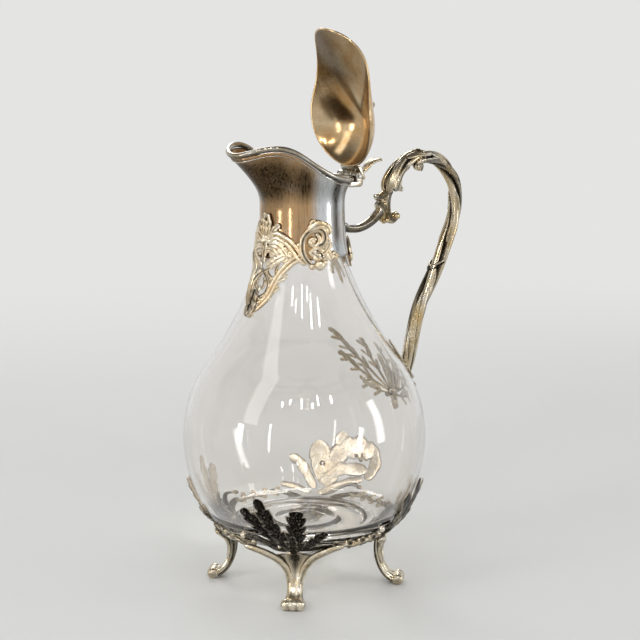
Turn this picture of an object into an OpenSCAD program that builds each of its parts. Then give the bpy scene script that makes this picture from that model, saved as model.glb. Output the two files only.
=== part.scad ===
// Claret jug: a pear-shaped glass body in a plated neck mount with a wavy spout,
// a domed hinged lid, a twisted vine handle and four scroll feet with leaf fans.
// Lengths are millimetres. The spout points along -X and the handle along +X.
// Heights are measured from the table, and radii from the axis of the glass.

/* [Glass body] */
// Height of the flat glass base above the table
base_z = 34; // [32:0.5:38]
// Radius of the glass base ring
base_r = 45; // [43:0.5:47]
// Radius at the widest part of the belly
belly_r = 74.5; // [72.5:0.5:76.5]
// Height of the widest part of the belly
belly_z = 93; // [90:0.5:96]
// Radius where the belly turns into the shoulder
shoulder_r = 57.5; // [56:0.5:59]
// Height where the belly turns into the shoulder
shoulder_z = 142; // [140:0.5:145]
// Outer radius of the straight glass neck
neck_r = 23; // [22:0.25:23.5]
// Height at which the glass neck becomes straight
neck_z = 222; // [220:0.5:223]
// Length of the straight glass neck, hidden inside the neck mount
neck_l = 16; // [12:0.5:18]
// Thickness of the glass wall
glass_wall = 3; // [2.5:0.1:3.5]
// Thickness of the glass at the centre of the base
glass_floor = 9; // [7:0.5:11]
// Radius of the ground recess under the base
recess_r = 37; // [34:0.5:38]
// Depth of the ground recess under the base
recess_depth = 2; // [1:0.25:3]

/* [Neck mount] */
// Outer radius of the narrowest part of the neck mount
mount_r = 25.7; // [25.5:0.1:26.5]
// Outer radius of the neck mount at its lower edge
mount_foot_r = 28.2; // [28:0.1:29]
// How far the neck mount reaches down below the straight glass neck
mount_overlap = 16; // [14:0.5:18]
// Height of the neck mount's tube, from its lower edge to its flare
mount_h = 30; // [28:0.5:32]
// Thickness of the neck mount's sheet
mount_wall = 1.1; // [0.9:0.1:1.3]
// Radius of the rim at its sides
rim_side_r = 28.6; // [28:0.2:30]
// Radius of the rim at the hinge
rim_back_r = 30; // [29.5:0.1:30.5]
// Reach of the spout tip from the axis
spout_reach = 49.8; // [49:0.1:53]
// Height of the flare at the hinge
flare_h = 14.4; // [13:0.2:16]
// How much the rim climbs from the hinge to the spout
rim_climb = 31; // [27:0.5:32]
// How much the spout dips between its two crests
spout_dip = 13; // [9:0.5:13]
// Radius of the applied rim moulding
moulding_r = 1.7; // [1.4:0.1:2]

/* [Ornament] */
// Thickness of the cast leaf plates
leaf_thick = 1.4; // [1:0.1:1.8]
// How far the front lappet hangs down below the mount
lappet_drop = 36; // [33:0.5:38]
// How far the front lappet's top leaf stands above the mount's lower edge
lappet_rise = 24; // [21:0.5:27]
// Distance from the front lappet's middle to its corner, around the mount
lappet_half = 24; // [22:0.5:25]
// How far the back lappet hangs down below the mount
back_drop = 22; // [18:0.5:24]
// Angle from the spout to each side scroll
scroll_angle = 67; // [66:0.5:70]
// Height of the side scrolls' centre above the mount's lower edge
scroll_rise = 11; // [10:0.5:13]
// Outer radius of the side scrolls
scroll_r = 6.5; // [6:0.1:7]

/* [Lid] */
// Angle between the closed lid and the lid as it stands open
lid_open = 64.5; // [60:0.5:75]
// Height of the dome's top above the rim at the hinge, when the lid is closed
dome_h = 26; // [25:0.5:32]
// Distance of the dome's top from the axis, towards the hinge
dome_x = 6.5; // [5:0.5:14]
// Thickness of the lid's sheet
lid_wall = 1.1; // [0.9:0.1:1.4]
// Height of the bud on top of the lid
finial_h = 11; // [8:0.25:12]
// Greatest radius of the bud
finial_r = 3; // [2.5:0.25:3.5]
// Height of the thumbpiece above the hinge leaf when the lid is closed
thumb_h = 21.5; // [20:0.5:24]
// Width of the thumbpiece
thumb_w = 10; // [8:0.5:12]
// Thickness of the thumbpiece
thumb_t = 2.6; // [2:0.1:3]

/* [Hinge] */
// Distance of the hinge axis behind the middle of the rim moulding
hinge_out = 6.8; // [6.4:0.1:8]
// Height of the hinge axis above the middle of the rim moulding
hinge_rise = 0.6; // [0.4:0.1:1.2]
// Outer radius of the knuckles
knuckle_r = 2.6; // [2.4:0.1:2.7]
// Radius of the hinge pin
pin_r = 1.1; // [0.9:0.1:1.3]
// Radial clearance between the pin and the knuckles
pin_clearance = 0.05; // [0.03:0.01:0.08]
// Width of the middle knuckle
middle_knuckle_w = 7.6; // [6:0.2:9]
// Whole width of the hinge
hinge_w = 20; // [18:0.5:22]
// Play between the middle knuckle and its neighbours, each side
knuckle_gap = 0.3; // [0.2:0.05:0.5]

/* [Handle] */
// Greatest radius of the twisted handle
handle_r = 4.7; // [4.2:0.1:5]
// Radius of the handle's leaf bulb, at its upper end
bulb_r = 5.2; // [5:0.1:5.6]
// Radius of the handle at its lower end
handle_end_r = 3.8; // [3.5:0.1:4]
// Number of turns of the handle's twist
handle_turns = 2.5; // [2:0.25:3]
// Radius of the lower arm where it meets the neck
arm_r = 2.3; // [2:0.1:2.6]
// Radius of the lower arm at the knot
knot_r = 3.5; // [3:0.1:3.8]
// Radius of the small volute beside the knot
volute_r = 2.1; // [1.8:0.1:2.3]
// Height of the handle's neck bracket
bracket_h = 14; // [12:0.5:15]
// Width of the handle's neck bracket
bracket_w = 9; // [7:0.5:10]
// Height where the handle meets the belly
handle_foot_z = 110; // [108:0.5:112]
// Height of the handle's arm above the mount's lower edge
arm_rise = 14; // [13:0.5:15]
// Distance of the knot's top from the axis
knot_out = 67.5; // [66:0.5:69]
// Height of the knot's top above the arm's root
knot_rise = 19.5; // [18:0.5:21]
// Distance of the loop's back from the axis
loop_out = 124.6; // [120:0.2:127]
// Height of the loop's top above the knot's top
loop_rise = 19.4; // [18:0.2:21]
// Length of the longest frond at the handle's foot
frond_l = 48; // [42:1:50]

/* [Feet] */
// Angle of the feet from the spout and handle line
foot_angle = 45; // [43:1:47]
// Distance of the toes from the axis
toe_r = 58; // [56:0.5:60]
// Radius of the scrolled toe
toe_size = 4; // [3.5:0.1:4.4]
// Thickness of the leg's strap
leg_t = 5.6; // [5:0.1:6]
// Width of the leg at its waist
leg_waist = 9.4; // [8.5:0.1:10]
// Width of the hoof
hoof_w = 15; // [13:0.5:16]
// Width of the leg under the glass
leg_top_w = 18; // [16:0.5:20]
// How far the leg reaches under the glass base
leg_seat = 4; // [3:0.5:5]
// Radius of the garland between two feet
garland_r = 1.6; // [1.4:0.1:1.8]
// Height of the tallest leaf's tip above the fan's root
tall_leaf = 31.5; // [28:0.5:33]
// Height of the middle leaf's tip above the fan's root
middle_leaf = 25; // [22:0.5:27]

/* [Hidden] */

// Clearance between pieces that are fitted or soldered to each other
seat_gap = 0.3;
// Clearance between a cast plate and the curved surface behind it
plate_gap = 0.6;
// Clearance between the closed lid and the rim moulding
lid_gap = 0.4;
// Steps round a full turn of the neck mount, the moulding and the lid
ring_steps = 60;
round_fn = 64;

// Heights that follow from the sizes above
lip_z = neck_z + neck_l;
mount_foot_z = neck_z - mount_overlap;
flare_z = mount_foot_z + mount_h;
rim_back_z = flare_z + flare_h;
lappet_tip_z = mount_foot_z - lappet_drop;
lappet_top_z = mount_foot_z + lappet_rise;
back_tip_z = mount_foot_z - back_drop;
scroll_z = mount_foot_z + scroll_rise;
dome_z = rim_back_z + dome_h;
hinge_x = rim_back_r + hinge_out;
hinge_z = rim_back_z + hinge_rise;
arm_z = mount_foot_z + arm_rise;

function bezier_point(a, b, c, d, t) =
    pow(1 - t, 3) * a + 3 * t * pow(1 - t, 2) * b + 3 * t * t * (1 - t) * c + pow(t, 3) * d;

function bezier_points(a, b, c, d, steps) =
    [for (i = [0:steps]) bezier_point(a, b, c, d, i / steps)];

// A smooth path that passes through each of the given points.
function spline_point(points, i, t) =
    let (last = len(points) - 1)
    let (a = points[max(i - 1, 0)])
    let (b = points[i])
    let (c = points[min(i + 1, last)])
    let (d = points[min(i + 2, last)])
    0.5 * (2 * b + (c - a) * t + (2 * a - 5 * b + 4 * c - d) * t * t
        + (3 * b - a - 3 * c + d) * pow(t, 3));

function spline_points(points, steps) = [
    for (i = [0:len(points) - 2])
        for (j = [0:steps - 1]) spline_point(points, i, j / steps),
    points[len(points) - 1]
];

// Outline of the glass, as radius and height, from the base up to the neck
base_flare = 11;
base_lift = 2;
belly_pull = 31;
shoulder_pull = [8.5, -11.5];
shoulder_push = [11.5, -15];
neck_pull = [0.5, -26];
belly_curve = bezier_points(
    [base_r, base_z], [base_r + base_flare, base_z + base_lift],
    [belly_r, belly_z - belly_pull], [belly_r, belly_z], 10);
shoulder_curve = bezier_points(
    [belly_r, belly_z], [belly_r, belly_z + (shoulder_z - belly_z) * 0.37],
    [shoulder_r, shoulder_z] + shoulder_push, [shoulder_r, shoulder_z], 8);
neck_curve = bezier_points(
    [shoulder_r, shoulder_z], [shoulder_r, shoulder_z] - shoulder_pull,
    [neck_r, neck_z] + neck_pull, [neck_r, neck_z], 9);
glass_curve = [
    each belly_curve,
    for (i = [1:len(shoulder_curve) - 1]) shoulder_curve[i],
    for (i = [1:len(neck_curve) - 1]) neck_curve[i]
];
glass_table = [for (p = glass_curve) [p[1], p[0]]];

function glass_radius(z) = lookup(z, glass_table);

// Outward direction of the glass surface at a height, as radius and height
function glass_normal(z) =
    let (slope = [2, glass_radius(z - 1) - glass_radius(z + 1)])
    slope / norm(slope);

// A curve moved sideways by a distance, to its left as it runs
function shifted_curve(points, distance) = [
    for (i = [0:len(points) - 1])
        let (run = points[min(i + 1, len(points) - 1)] - points[max(i - 1, 0)])
        points[i] + distance * [-run[1], run[0]] / norm(run)
];

floor_z = base_z + glass_floor;
glass_inside = [
    for (p = shifted_curve(glass_curve, glass_wall)) if (p[1] > floor_z + glass_wall) p
];

// Radius of the neck mount below its flare, at a height
mount_table = [
    [mount_foot_z - 4, mount_foot_r], [mount_foot_z, mount_foot_r],
    [mount_foot_z + 8, mount_r + 0.9], [mount_foot_z + 20, mount_r + 0.2], [flare_z, mount_r]
];
function mount_radius(z) = lookup(z, mount_table);

// The rim, by angle from the spout: its radius and its height
spout_taper = 4.4;
dip_angle = 26.3;
climb_power = 2.6;
function rim_radius(a) =
    rim_side_r + (spout_reach - rim_side_r) * pow(max(cos(a), 0), spout_taper)
        + (rim_back_r - rim_side_r) * pow(max(-cos(a), 0), 2);
function turned(a) = a > 180 ? a - 360 : a;
function rim_height(a) =
    rim_back_z + rim_climb * pow((1 + cos(a)) / 2, climb_power)
        - spout_dip * exp(-pow(turned(a) / dip_angle, 2));

// The flare's sharpness, from the gentle spout to the tight turn at the sides
function flare_power(a) = 1.4 + 1.4 * pow((1 - cos(a)) / 2, 0.6);

mount_top_drop = moulding_r + seat_gap;
function flare_point(a, t) = [
    mount_r + (rim_radius(a) - mount_r) * pow(t, flare_power(a)),
    flare_z + (rim_height(a) - mount_top_drop - flare_z) * t
];

flare_steps = 8;
function mount_outline(a) = [
    [mount_radius(mount_foot_z), mount_foot_z],
    [mount_radius(mount_foot_z + 8), mount_foot_z + 8],
    [mount_radius(mount_foot_z + 20), mount_foot_z + 20],
    for (i = [0:flare_steps]) flare_point(a, i / flare_steps)
];

// A point at an angle from the spout, a radius and a height
function at_angle(a, r, z) = [-r * cos(a), r * sin(a), z];

// The surface that the lappets and scrolls lie on: the mount, then the glass below it
function lappet_radius(z) =
    z > mount_foot_z ? mount_radius(z) : max(mount_foot_r, glass_radius(z) + seat_gap);

// A point on the mount or on the glass, by distance around it, height and lift
function on_mount(middle, across, z, lift) =
    let (r = lappet_radius(z))
    at_angle(middle + across / r * 180 / PI, r + lift, z);
function on_glass(middle, across, z, lift) =
    let (r = glass_radius(z))
    let (n = glass_normal(z))
    at_angle(middle + across / r * 180 / PI, r + lift * n[0], z + lift * n[1]);

// Faces of a skin over rows of points, closed round each row
function band_faces(rows, columns, first = 0) = [
    for (j = [0:rows - 2])
        for (i = [0:columns - 1])
            let (next = (i + 1) % columns)
            let (a = first + j * columns)
            let (b = a + columns)
            each [[a + i, a + next, b + next], [a + i, b + next, b + i]]
];

// A closed ring-shaped solid: each row is one closed loop, and the last row joins the first
module ring_solid(loops) {
    count = len(loops);
    width = len(loops[0]);
    polyhedron(
        points = [for (row = loops) each row],
        faces = [
            for (j = [0:count - 1])
                for (i = [0:width - 1])
                    let (next = (i + 1) % width)
                    let (a = j * width)
                    let (b = ((j + 1) % count) * width)
                    each [[a + i, b + next, a + next], [a + i, b + i, b + next]]
        ]);
}

// A solid between loops of points, closed at each end by a point
module capped_solid(loops, start, end) {
    count = len(loops);
    width = len(loops[0]);
    polyhedron(
        points = [start, end, for (row = loops) each row],
        faces = [
            for (i = [0:width - 1]) [0, 2 + (i + 1) % width, 2 + i],
            each [for (f = band_faces(count, width, 2)) f],
            for (i = [0:width - 1])
                let (a = 2 + (count - 1) * width)
                [1, a + i, a + (i + 1) % width]
        ]);
}

// A cross-section ring square to a path that lies in the XZ plane
function path_ring(points, i, radius, sides, lobes, turn) =
    let (run = points[min(i + 1, len(points) - 1)] - points[max(i - 1, 0)])
    let (along = run / norm(run))
    [for (k = [0:sides - 1])
        let (a = 360 * k / sides)
        let (r = radius * (1 - lobes + lobes * cos(2 * (a - turn))))
        [points[i][0] - along[1] * r * cos(a), -r * sin(a), points[i][1] + along[0] * r * cos(a)]];

module path_solid(points, radii, sides, lobes = 0, turns = 0) {
    last = len(points) - 1;
    rings = [for (i = [0:last]) path_ring(points, i, radii[i], sides, lobes, 360 * turns * i / last)];
    capped_solid(rings,
        [points[0][0], 0, points[0][1]], [points[last][0], 0, points[last][1]]);
}

// A leaf's edge round its root: shares of its half angle, with shares of its length
leaf_shape = [[-1, 0.42], [-0.8, 0.7], [-0.42, 0.9], [0, 1], [0.42, 0.9], [0.8, 0.7], [1, 0.42]];

// A leaf by its heading from straight up, towards growing angles, its length and its half angle
function leaf_corners(heading, length, spread) = [
    for (p = leaf_shape) length * p[1] * [sin(heading + p[0] * spread), cos(heading + p[0] * spread)]
];

plate_levels = 5;

// Lift of a plate's outer side, fullest at its root and thin at its edge
function plate_lift(share) = plate_gap + leaf_thick * (1 - 0.6 * share * share);

// A plate of leaves on the glass, from outline corners around a root
module glass_plate(middle, root_z, corners) {
    outer = [for (j = [1:plate_levels])
        let (s = j / plate_levels)
        [for (c = corners) on_glass(middle, c[0] * s, root_z + c[1] * s, plate_lift(s))]];
    inner = [for (j = [plate_levels:-1:1])
        let (s = j / plate_levels)
        [for (c = corners) on_glass(middle, c[0] * s, root_z + c[1] * s, plate_gap)]];
    capped_solid([each outer, each inner],
        on_glass(middle, 0, root_z, plate_lift(0)), on_glass(middle, 0, root_z, plate_gap));
}

module glass_body() {
    color([0.86, 0.88, 0.88, 0.35])
        rotate_extrude($fn = round_fn)
            polygon([
                [0, base_z + recess_depth], [recess_r, base_z + recess_depth],
                [recess_r + recess_depth, base_z],
                each glass_curve,
                [neck_r, lip_z], [neck_r - glass_wall, lip_z],
                for (i = [len(glass_inside) - 1:-1:0]) glass_inside[i],
                [glass_inside[0][0] - glass_wall, floor_z + glass_wall * 0.3],
                [glass_inside[0][0] - glass_wall * 3, floor_z], [0, floor_z]
            ]);
}

// The plaster bedding between the glass neck and the mount
module neck_cement() {
    color("gainsboro")
        translate([0, 0, neck_z])
            difference() {
                cylinder(h = lip_z - neck_z, r = mount_r - mount_wall - seat_gap, $fn = round_fn);
                translate([0, 0, -1])
                    cylinder(h = lip_z - neck_z + 2, r = neck_r + seat_gap, $fn = round_fn);
            }
}

module neck_mount() {
    outlines = [for (i = [0:ring_steps - 1])
        let (a = 360 * i / ring_steps)
        let (outside = mount_outline(a))
        [each [for (p = outside) at_angle(a, p[0], p[1])],
            for (k = [len(outside) - 1:-1:0]) at_angle(a, outside[k][0] - mount_wall, outside[k][1])]];
    color("silver")
        ring_solid(outlines);
}

moulding_sides = 8;
module rim_moulding() {
    loops = [for (i = [0:ring_steps - 1])
        let (a = 360 * i / ring_steps)
        [for (k = [0:moulding_sides - 1])
            let (b = 360 * (k + 0.5) / moulding_sides)
            at_angle(a, rim_radius(a) + moulding_r * sin(b), rim_height(a) - moulding_r * cos(b))]];
    color("whitesmoke")
        ring_solid(loops);
}

// One half of the front lappet's outline, from its tip up to its top leaf
lappet_middle_z = lappet_tip_z + 0.52 * (lappet_top_z - lappet_tip_z);
function lappet_half_outline(tip, top) =
    let (mid = lappet_middle_z)
    [[3.6, tip + 1.5], [5.5, tip + 7], [10, (tip + mid) / 2 + 2], [17, mid - 2],
        [lappet_half, mid + 5], [19, mid + 12], [13, mid + 17], [7.5, mid + 18], [4.5, top - 4]];
function lappet_outline(tip, top) =
    let (half = lappet_half_outline(tip, top))
    [[0, tip], each half, [0, top], for (i = [len(half) - 1:-1:0]) [-half[i][0], half[i][1]]];

lappet_hole = 0.62;
lappet_depth = 4;
// The frame of the openwork lappet, between its outline and its opening
module lappet_frame(outline) {
    mid = [0, lappet_middle_z];
    shares = [for (j = [0:lappet_depth]) lappet_hole + (1 - lappet_hole) * j / lappet_depth];
    outer = [for (s = shares)
        [for (p = outline)
            let (q = mid + s * (p - mid))
            on_mount(0, q[0], q[1], seat_gap + leaf_thick)]];
    inner = [for (j = [lappet_depth:-1:0])
        [for (p = outline)
            let (q = mid + shares[j] * (p - mid))
            on_mount(0, q[0], q[1], seat_gap)]];
    ring_solid([each inner, each outer]);
}

// The leaf stem that crosses the opening
module lappet_stem() {
    low = lappet_middle_z + lappet_hole * (lappet_tip_z - lappet_middle_z) + seat_gap;
    high = lappet_middle_z + lappet_hole * (lappet_top_z - lappet_middle_z) - seat_gap;
    rows = 8;
    loops = [for (i = [0:rows])
        let (z = low + (high - low) * (0.02 + 0.96 * i / rows))
        let (w = 0.8 + 2.6 * sin(180 * i / rows))
        [on_mount(0, -w, z, seat_gap), on_mount(0, w, z, seat_gap),
            on_mount(0, w, z, seat_gap + leaf_thick), on_mount(0, -w, z, seat_gap + leaf_thick)]];
    capped_solid([for (i = [rows:-1:0]) loops[i]],
        on_mount(0, 0, high, seat_gap + leaf_thick / 2), on_mount(0, 0, low, seat_gap + leaf_thick / 2));
}

module front_lappet() {
    color("tan") {
        lappet_frame(lappet_outline(lappet_tip_z, lappet_top_z));
        lappet_stem();
    }
}

back_plate_z = mount_foot_z + 1;
module back_lappet() {
    half = [[4, back_tip_z + 4], [8, back_tip_z + 11], [15, back_plate_z - 5],
        [lappet_half - 2, back_plate_z + 1], [14, back_plate_z + 3], [8, back_plate_z + 4]];
    outline = [[0, back_tip_z], each half, [0, back_plate_z + 5],
        for (i = [len(half) - 1:-1:0]) [-half[i][0], half[i][1]]];
    mid = [0, back_plate_z];
    outer = [for (j = [1:plate_levels])
        let (s = j / plate_levels)
        [for (p = outline)
            let (q = mid + s * (p - mid))
            on_mount(180, q[0], q[1], plate_gap + leaf_thick)]];
    inner = [for (j = [plate_levels:-1:1])
        let (s = j / plate_levels)
        [for (p = outline)
            let (q = mid + s * (p - mid))
            on_mount(180, q[0], q[1], plate_gap)]];
    color("tan")
        capped_solid([each outer, each inner],
            on_mount(180, 0, back_plate_z, plate_gap + leaf_thick),
            on_mount(180, 0, back_plate_z, plate_gap));
}

scroll_wire_r = 1.5;
scroll_turns = 1.2;
// A flat spiral of wire on the mount, mirrored for the other side
module side_scroll(side) {
    steps = 22;
    sides = 8;
    lift = seat_gap + scroll_wire_r;
    centre = side * scroll_angle * PI / 180 * mount_radius(scroll_z);
    loops = [for (i = [0:steps])
        let (turn = -110 + 360 * scroll_turns * i / steps)
        let (reach = scroll_r - 4.4 * i / steps)
        let (thick = scroll_wire_r * (1 - 0.45 * i / steps))
        [for (k = [0:sides - 1])
            let (b = 360 * k / sides)
            let (out = reach + thick * cos(b))
            on_mount(0, centre + side * out * sin(turn), scroll_z + out * cos(turn),
                lift + side * thick * sin(b))]];
    first = -110;
    final = first + 360 * scroll_turns;
    inner_r = scroll_r - 4.4;
    color("tan")
        capped_solid([for (i = [0:steps]) loops[steps - i]],
            on_mount(0, centre + side * inner_r * sin(final), scroll_z + inner_r * cos(final), lift),
            on_mount(0, centre + side * scroll_r * sin(first), scroll_z + scroll_r * cos(first), lift));
}

// Lid, drawn closed: its edge follows the rim moulding and its dome rises inside it
lid_levels = 7;
// How far the lid oversails the middle of the moulding, how much more at the hinge and at the
// spout's tip, and how far its edge lifts from the rim at the sides
lid_over = 0.3;
lid_back_over = 1.5;
lid_tip_over = 2.2;
lid_side_rise = 2.5;
lid_fullness = 0.75;
function lid_edge(a, inset) =
    at_angle(a,
        rim_radius(a) + lid_over + lid_tip_over * pow(max(cos(a), 0), 3)
            + lid_back_over * pow(max(-cos(a), 0), 2) - inset,
        rim_height(a) + moulding_r + lid_gap + lid_wall + lid_side_rise * pow(sin(a), 2) - inset);
function lid_point(a, share, inset) =
    let (edge = lid_edge(a, inset))
    let (top = dome_z - inset)
    [dome_x + share * (edge[0] - dome_x), share * edge[1],
        edge[2] + (top - edge[2]) * pow(1 - share * share, lid_fullness)];

module lid_pose() {
    translate([hinge_x, 0, hinge_z])
        rotate([0, lid_open, 0])
            translate([-hinge_x, 0, -hinge_z])
                children();
}

module lid() {
    angles = [for (i = [0:ring_steps - 1]) -360 * i / ring_steps];
    outer = [for (j = [1:lid_levels]) [for (a = angles) lid_point(a, sin(90 * j / lid_levels), 0)]];
    inner = [for (j = [lid_levels:-1:1]) [for (a = angles) lid_point(a, sin(90 * j / lid_levels), lid_wall)]];
    color("burlywood")
        lid_pose()
            capped_solid([each outer, each inner], lid_point(0, 0, 0), lid_point(0, 0, lid_wall));
}

module lid_finial() {
    color("silver")
        lid_pose()
            translate([dome_x, 0, dome_z + seat_gap])
                rotate_extrude($fn = round_fn)
                    polygon([
                        [0, 0], [finial_r * 0.8, 0], [finial_r * 0.8, finial_h * 0.12],
                        each bezier_points(
                            [finial_r * 0.45, finial_h * 0.2], [finial_r * 1.3, finial_h * 0.35],
                            [finial_r * 1.2, finial_h * 0.85], [0, finial_h], 8)
                    ]);
}

// The lid's hinge leaf when the lid is closed: a bar behind the lid's edge, over the knuckles
leaf_low = hinge_z + knuckle_r - 0.6;
leaf_high = leaf_low + 2.2;
leaf_start = rim_back_r + lid_over + lid_back_over + seat_gap;
leaf_end = hinge_x + knuckle_r * 0.6;
leaf_clear = knuckle_r + knuckle_gap;
wing_w = hinge_w - 2;

module lid_hinge_leaf() {
    color("silver")
        lid_pose()
            difference() {
                union() {
                    translate([hinge_x, -middle_knuckle_w / 2, hinge_z])
                        rotate([-90, 0, 0])
                            cylinder(h = middle_knuckle_w, r = knuckle_r, $fn = round_fn);
                    translate([leaf_start - 2, -middle_knuckle_w / 2, leaf_low])
                        cube([leaf_end - leaf_start + 2, middle_knuckle_w, leaf_high - leaf_low]);
                    difference() {
                        translate([leaf_start - 4, -wing_w / 2, leaf_low])
                            cube([leaf_end - leaf_start + 4, wing_w, leaf_high - leaf_low]);
                        translate([hinge_x, -hinge_w, hinge_z])
                            rotate([-90, 0, 0])
                                cylinder(h = hinge_w * 2, r = leaf_clear, $fn = round_fn);
                    }
                }
                translate([0, 0, leaf_low - 1])
                    cylinder(h = leaf_high - leaf_low + 2, r = leaf_start, $fn = round_fn * 2);
                translate([hinge_x, -hinge_w, hinge_z])
                    rotate([-90, 0, 0])
                        cylinder(h = hinge_w * 2, r = pin_r + pin_clearance, $fn = round_fn);
            }
}

// Side line of the thumbpiece, rising from the leaf and turned back at its end
thumb_foot = [hinge_x - 0.4, leaf_high];
thumb_lean = 4.2;
thumb_line = bezier_points(
    thumb_foot, thumb_foot + [9, thumb_h * 0.28],
    thumb_foot + [-3.5, thumb_h * 0.56], thumb_foot + [thumb_lean, thumb_h], 10);
module thumbpiece() {
    left = shifted_curve(thumb_line, thumb_t / 2);
    right = shifted_curve(thumb_line, -thumb_t / 2);
    color("silver")
        lid_pose()
            difference() {
                translate([0, thumb_w / 2, 0])
                    rotate([90, 0, 0])
                        linear_extrude(height = thumb_w)
                            polygon([
                                for (i = [len(right) - 1:-1:0]) right[i],
                                thumb_foot - [0, thumb_t], each left
                            ]);
                translate([leaf_start, -thumb_w, leaf_low - thumb_t])
                    cube([hinge_x - leaf_start + knuckle_r * 3, thumb_w * 2, leaf_high - leaf_low + thumb_t]);
            }
}

// The fixed half of the hinge: a bracket under the rim that carries the outer knuckles
bracket_low = hinge_z - knuckle_r - 4;
bracket_high = hinge_z - knuckle_r - knuckle_gap;
bracket_hollow = flare_point(180, (bracket_high - flare_z) / (rim_back_z - mount_top_drop - flare_z))[0];
knuckle_slot = middle_knuckle_w + 2 * knuckle_gap;
module hinge_bracket() {
    color("silver")
        difference() {
            union() {
                translate([hinge_x, -hinge_w / 2, hinge_z])
                    rotate([-90, 0, 0])
                        cylinder(h = hinge_w, r = knuckle_r, $fn = round_fn);
                translate([hinge_x - knuckle_r * 0.8, -hinge_w / 2, bracket_low])
                    cube([knuckle_r * 1.8, hinge_w, hinge_z - bracket_low]);
                translate([mount_r, -hinge_w / 2, bracket_low])
                    cube([hinge_x + knuckle_r - mount_r, hinge_w, bracket_high - bracket_low]);
            }
            translate([0, 0, bracket_low - 1])
                cylinder(
                    h = bracket_high - bracket_low + 2, r = bracket_hollow + seat_gap,
                    $fn = round_fn * 2);
            translate([hinge_x - knuckle_r * 3, -knuckle_slot / 2, bracket_high])
                cube([knuckle_r * 6, knuckle_slot, knuckle_r * 4]);
            translate([hinge_x, -hinge_w, hinge_z])
                rotate([-90, 0, 0])
                    cylinder(h = hinge_w * 2, r = pin_r + pin_clearance, $fn = round_fn);
        }
}

module hinge_pin() {
    pin_l = hinge_w + 1.2;
    color("gray")
        translate([hinge_x, -pin_l / 2, hinge_z])
            rotate([-90, 0, 0])
                cylinder(h = pin_l, r = pin_r, $fn = round_fn);
}

// The small plate that holds the lower arm on the neck mount
bracket_inner_r = mount_radius(arm_z - bracket_h / 2) + seat_gap;
bracket_plate = 1.5;
module handle_bracket() {
    color("silver")
        intersection() {
            difference() {
                cylinder(h = arm_z + bracket_h / 2, r = bracket_inner_r + bracket_plate, $fn = round_fn);
                translate([0, 0, -1])
                    cylinder(h = arm_z + bracket_h, r = bracket_inner_r, $fn = round_fn);
            }
            translate([0, -bracket_w / 2, arm_z - bracket_h / 2])
                cube([bracket_inner_r * 2, bracket_w, bracket_h]);
        }
}

// Path of the lower arm: shares of the way from its root out and up to the knot
arm_root = [bracket_inner_r + bracket_plate + seat_gap, arm_z];
knot_top = [knot_out, arm_z + knot_rise];
function arm_place(out, up) =
    arm_root + [out * (knot_top[0] - arm_root[0]), up * (knot_top[1] - arm_root[1])];
knot_side = arm_place(0.922, 0.59);
arm_path = spline_points([
    arm_root, arm_place(0.09, 0), arm_place(0.171, -0.103), arm_place(0.391, -0.123),
    arm_place(0.611, 0.021), arm_place(0.793, 0.272), knot_side, knot_top], 4);
function arm_radius(share) = arm_r + (knot_r - arm_r) * pow(share, 1.5);
module handle_arm() {
    last = len(arm_path) - 1;
    color("silver")
        path_solid(arm_path, [for (i = [0:last]) arm_radius(i / last)], 12);
}

// The volute curls down and away from the knot, clear of the arm
knot_share = 6 / 7;
volute_thin = 0.7;
volute_start = knot_side + (arm_radius(knot_share) + volute_thin * volute_r + seat_gap) * [0.87, -0.49];
volute_path = spline_points([
    volute_start, volute_start + volute_r * [-0.3, -2.1], volute_start + volute_r * [0.3, -4],
    volute_start + volute_r * [1.9, -4.7], volute_start + volute_r * [3, -3.3]], 4);
module handle_volute() {
    last = len(volute_path) - 1;
    color("silver")
        path_solid(volute_path, [for (i = [0:last]) volute_r * (volute_thin + 0.4 * i / last)], 10);
}

// Path of the handle's loop, from its leaf bulb over the top and down to the belly
spray_face = glass_radius(handle_foot_z) + plate_gap + leaf_thick;
loop_foot = [spray_face + seat_gap + handle_end_r, handle_foot_z];
loop_top_z = knot_top[1] + loop_rise;

// A place on the loop's upper part, as shares of the way out and up from the knot
function loop_over(out, up) = knot_top + [out * (loop_out - knot_top[0]), up * loop_rise];

// A place on the loop's back and lower part, as shares of the way out and up from its foot
function loop_down(out, up) =
    loop_foot + [out * (loop_out - loop_foot[0]), up * (loop_top_z - handle_foot_z)];
loop_top = loop_over(0.49, 1);
loop_path = spline_points([
    knot_top + [1, seat_gap + 0.6], loop_over(0.079, 0.412), loop_over(0.184, 0.722), loop_over(0.324, 0.933),
    loop_top, loop_over(0.674, 0.881), loop_down(0.812, 0.943), loop_down(0.954, 0.88), loop_down(1, 0.799),
    loop_down(0.943, 0.702), loop_down(0.769, 0.601), loop_down(0.561, 0.48), loop_down(0.343, 0.363),
    loop_down(0.201, 0.235), loop_down(0.121, 0.128), loop_foot], 4);
function loop_radius(i) =
    let (share = i / (len(loop_path) - 1))
    share < 0.12 ? bulb_r + (handle_r - bulb_r) * share / 0.12
        : share < 0.55 ? handle_r : handle_r + (handle_end_r - handle_r) * (share - 0.55) / 0.45;
loop_sides = 16;
loop_lobes = 0.09;
module handle_loop() {
    color("tan")
        path_solid(loop_path, [for (i = [0:len(loop_path) - 1]) loop_radius(i)],
            loop_sides, loop_lobes, handle_turns);
}
loop_reach = max([for (i = [0:len(loop_path) - 1])
    each [for (p = path_ring(loop_path, i, loop_radius(i), loop_sides, loop_lobes,
        360 * handle_turns * i / (len(loop_path) - 1))) p[0]]]);

// The bud that hangs inside the top of the loop
bud_r = 2.6;
module handle_bud() {
    color("tan")
        translate([loop_top[0], 0, loop_top[1] - handle_r - seat_gap - bud_r])
            sphere(r = bud_r, $fn = 32);
}

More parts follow.
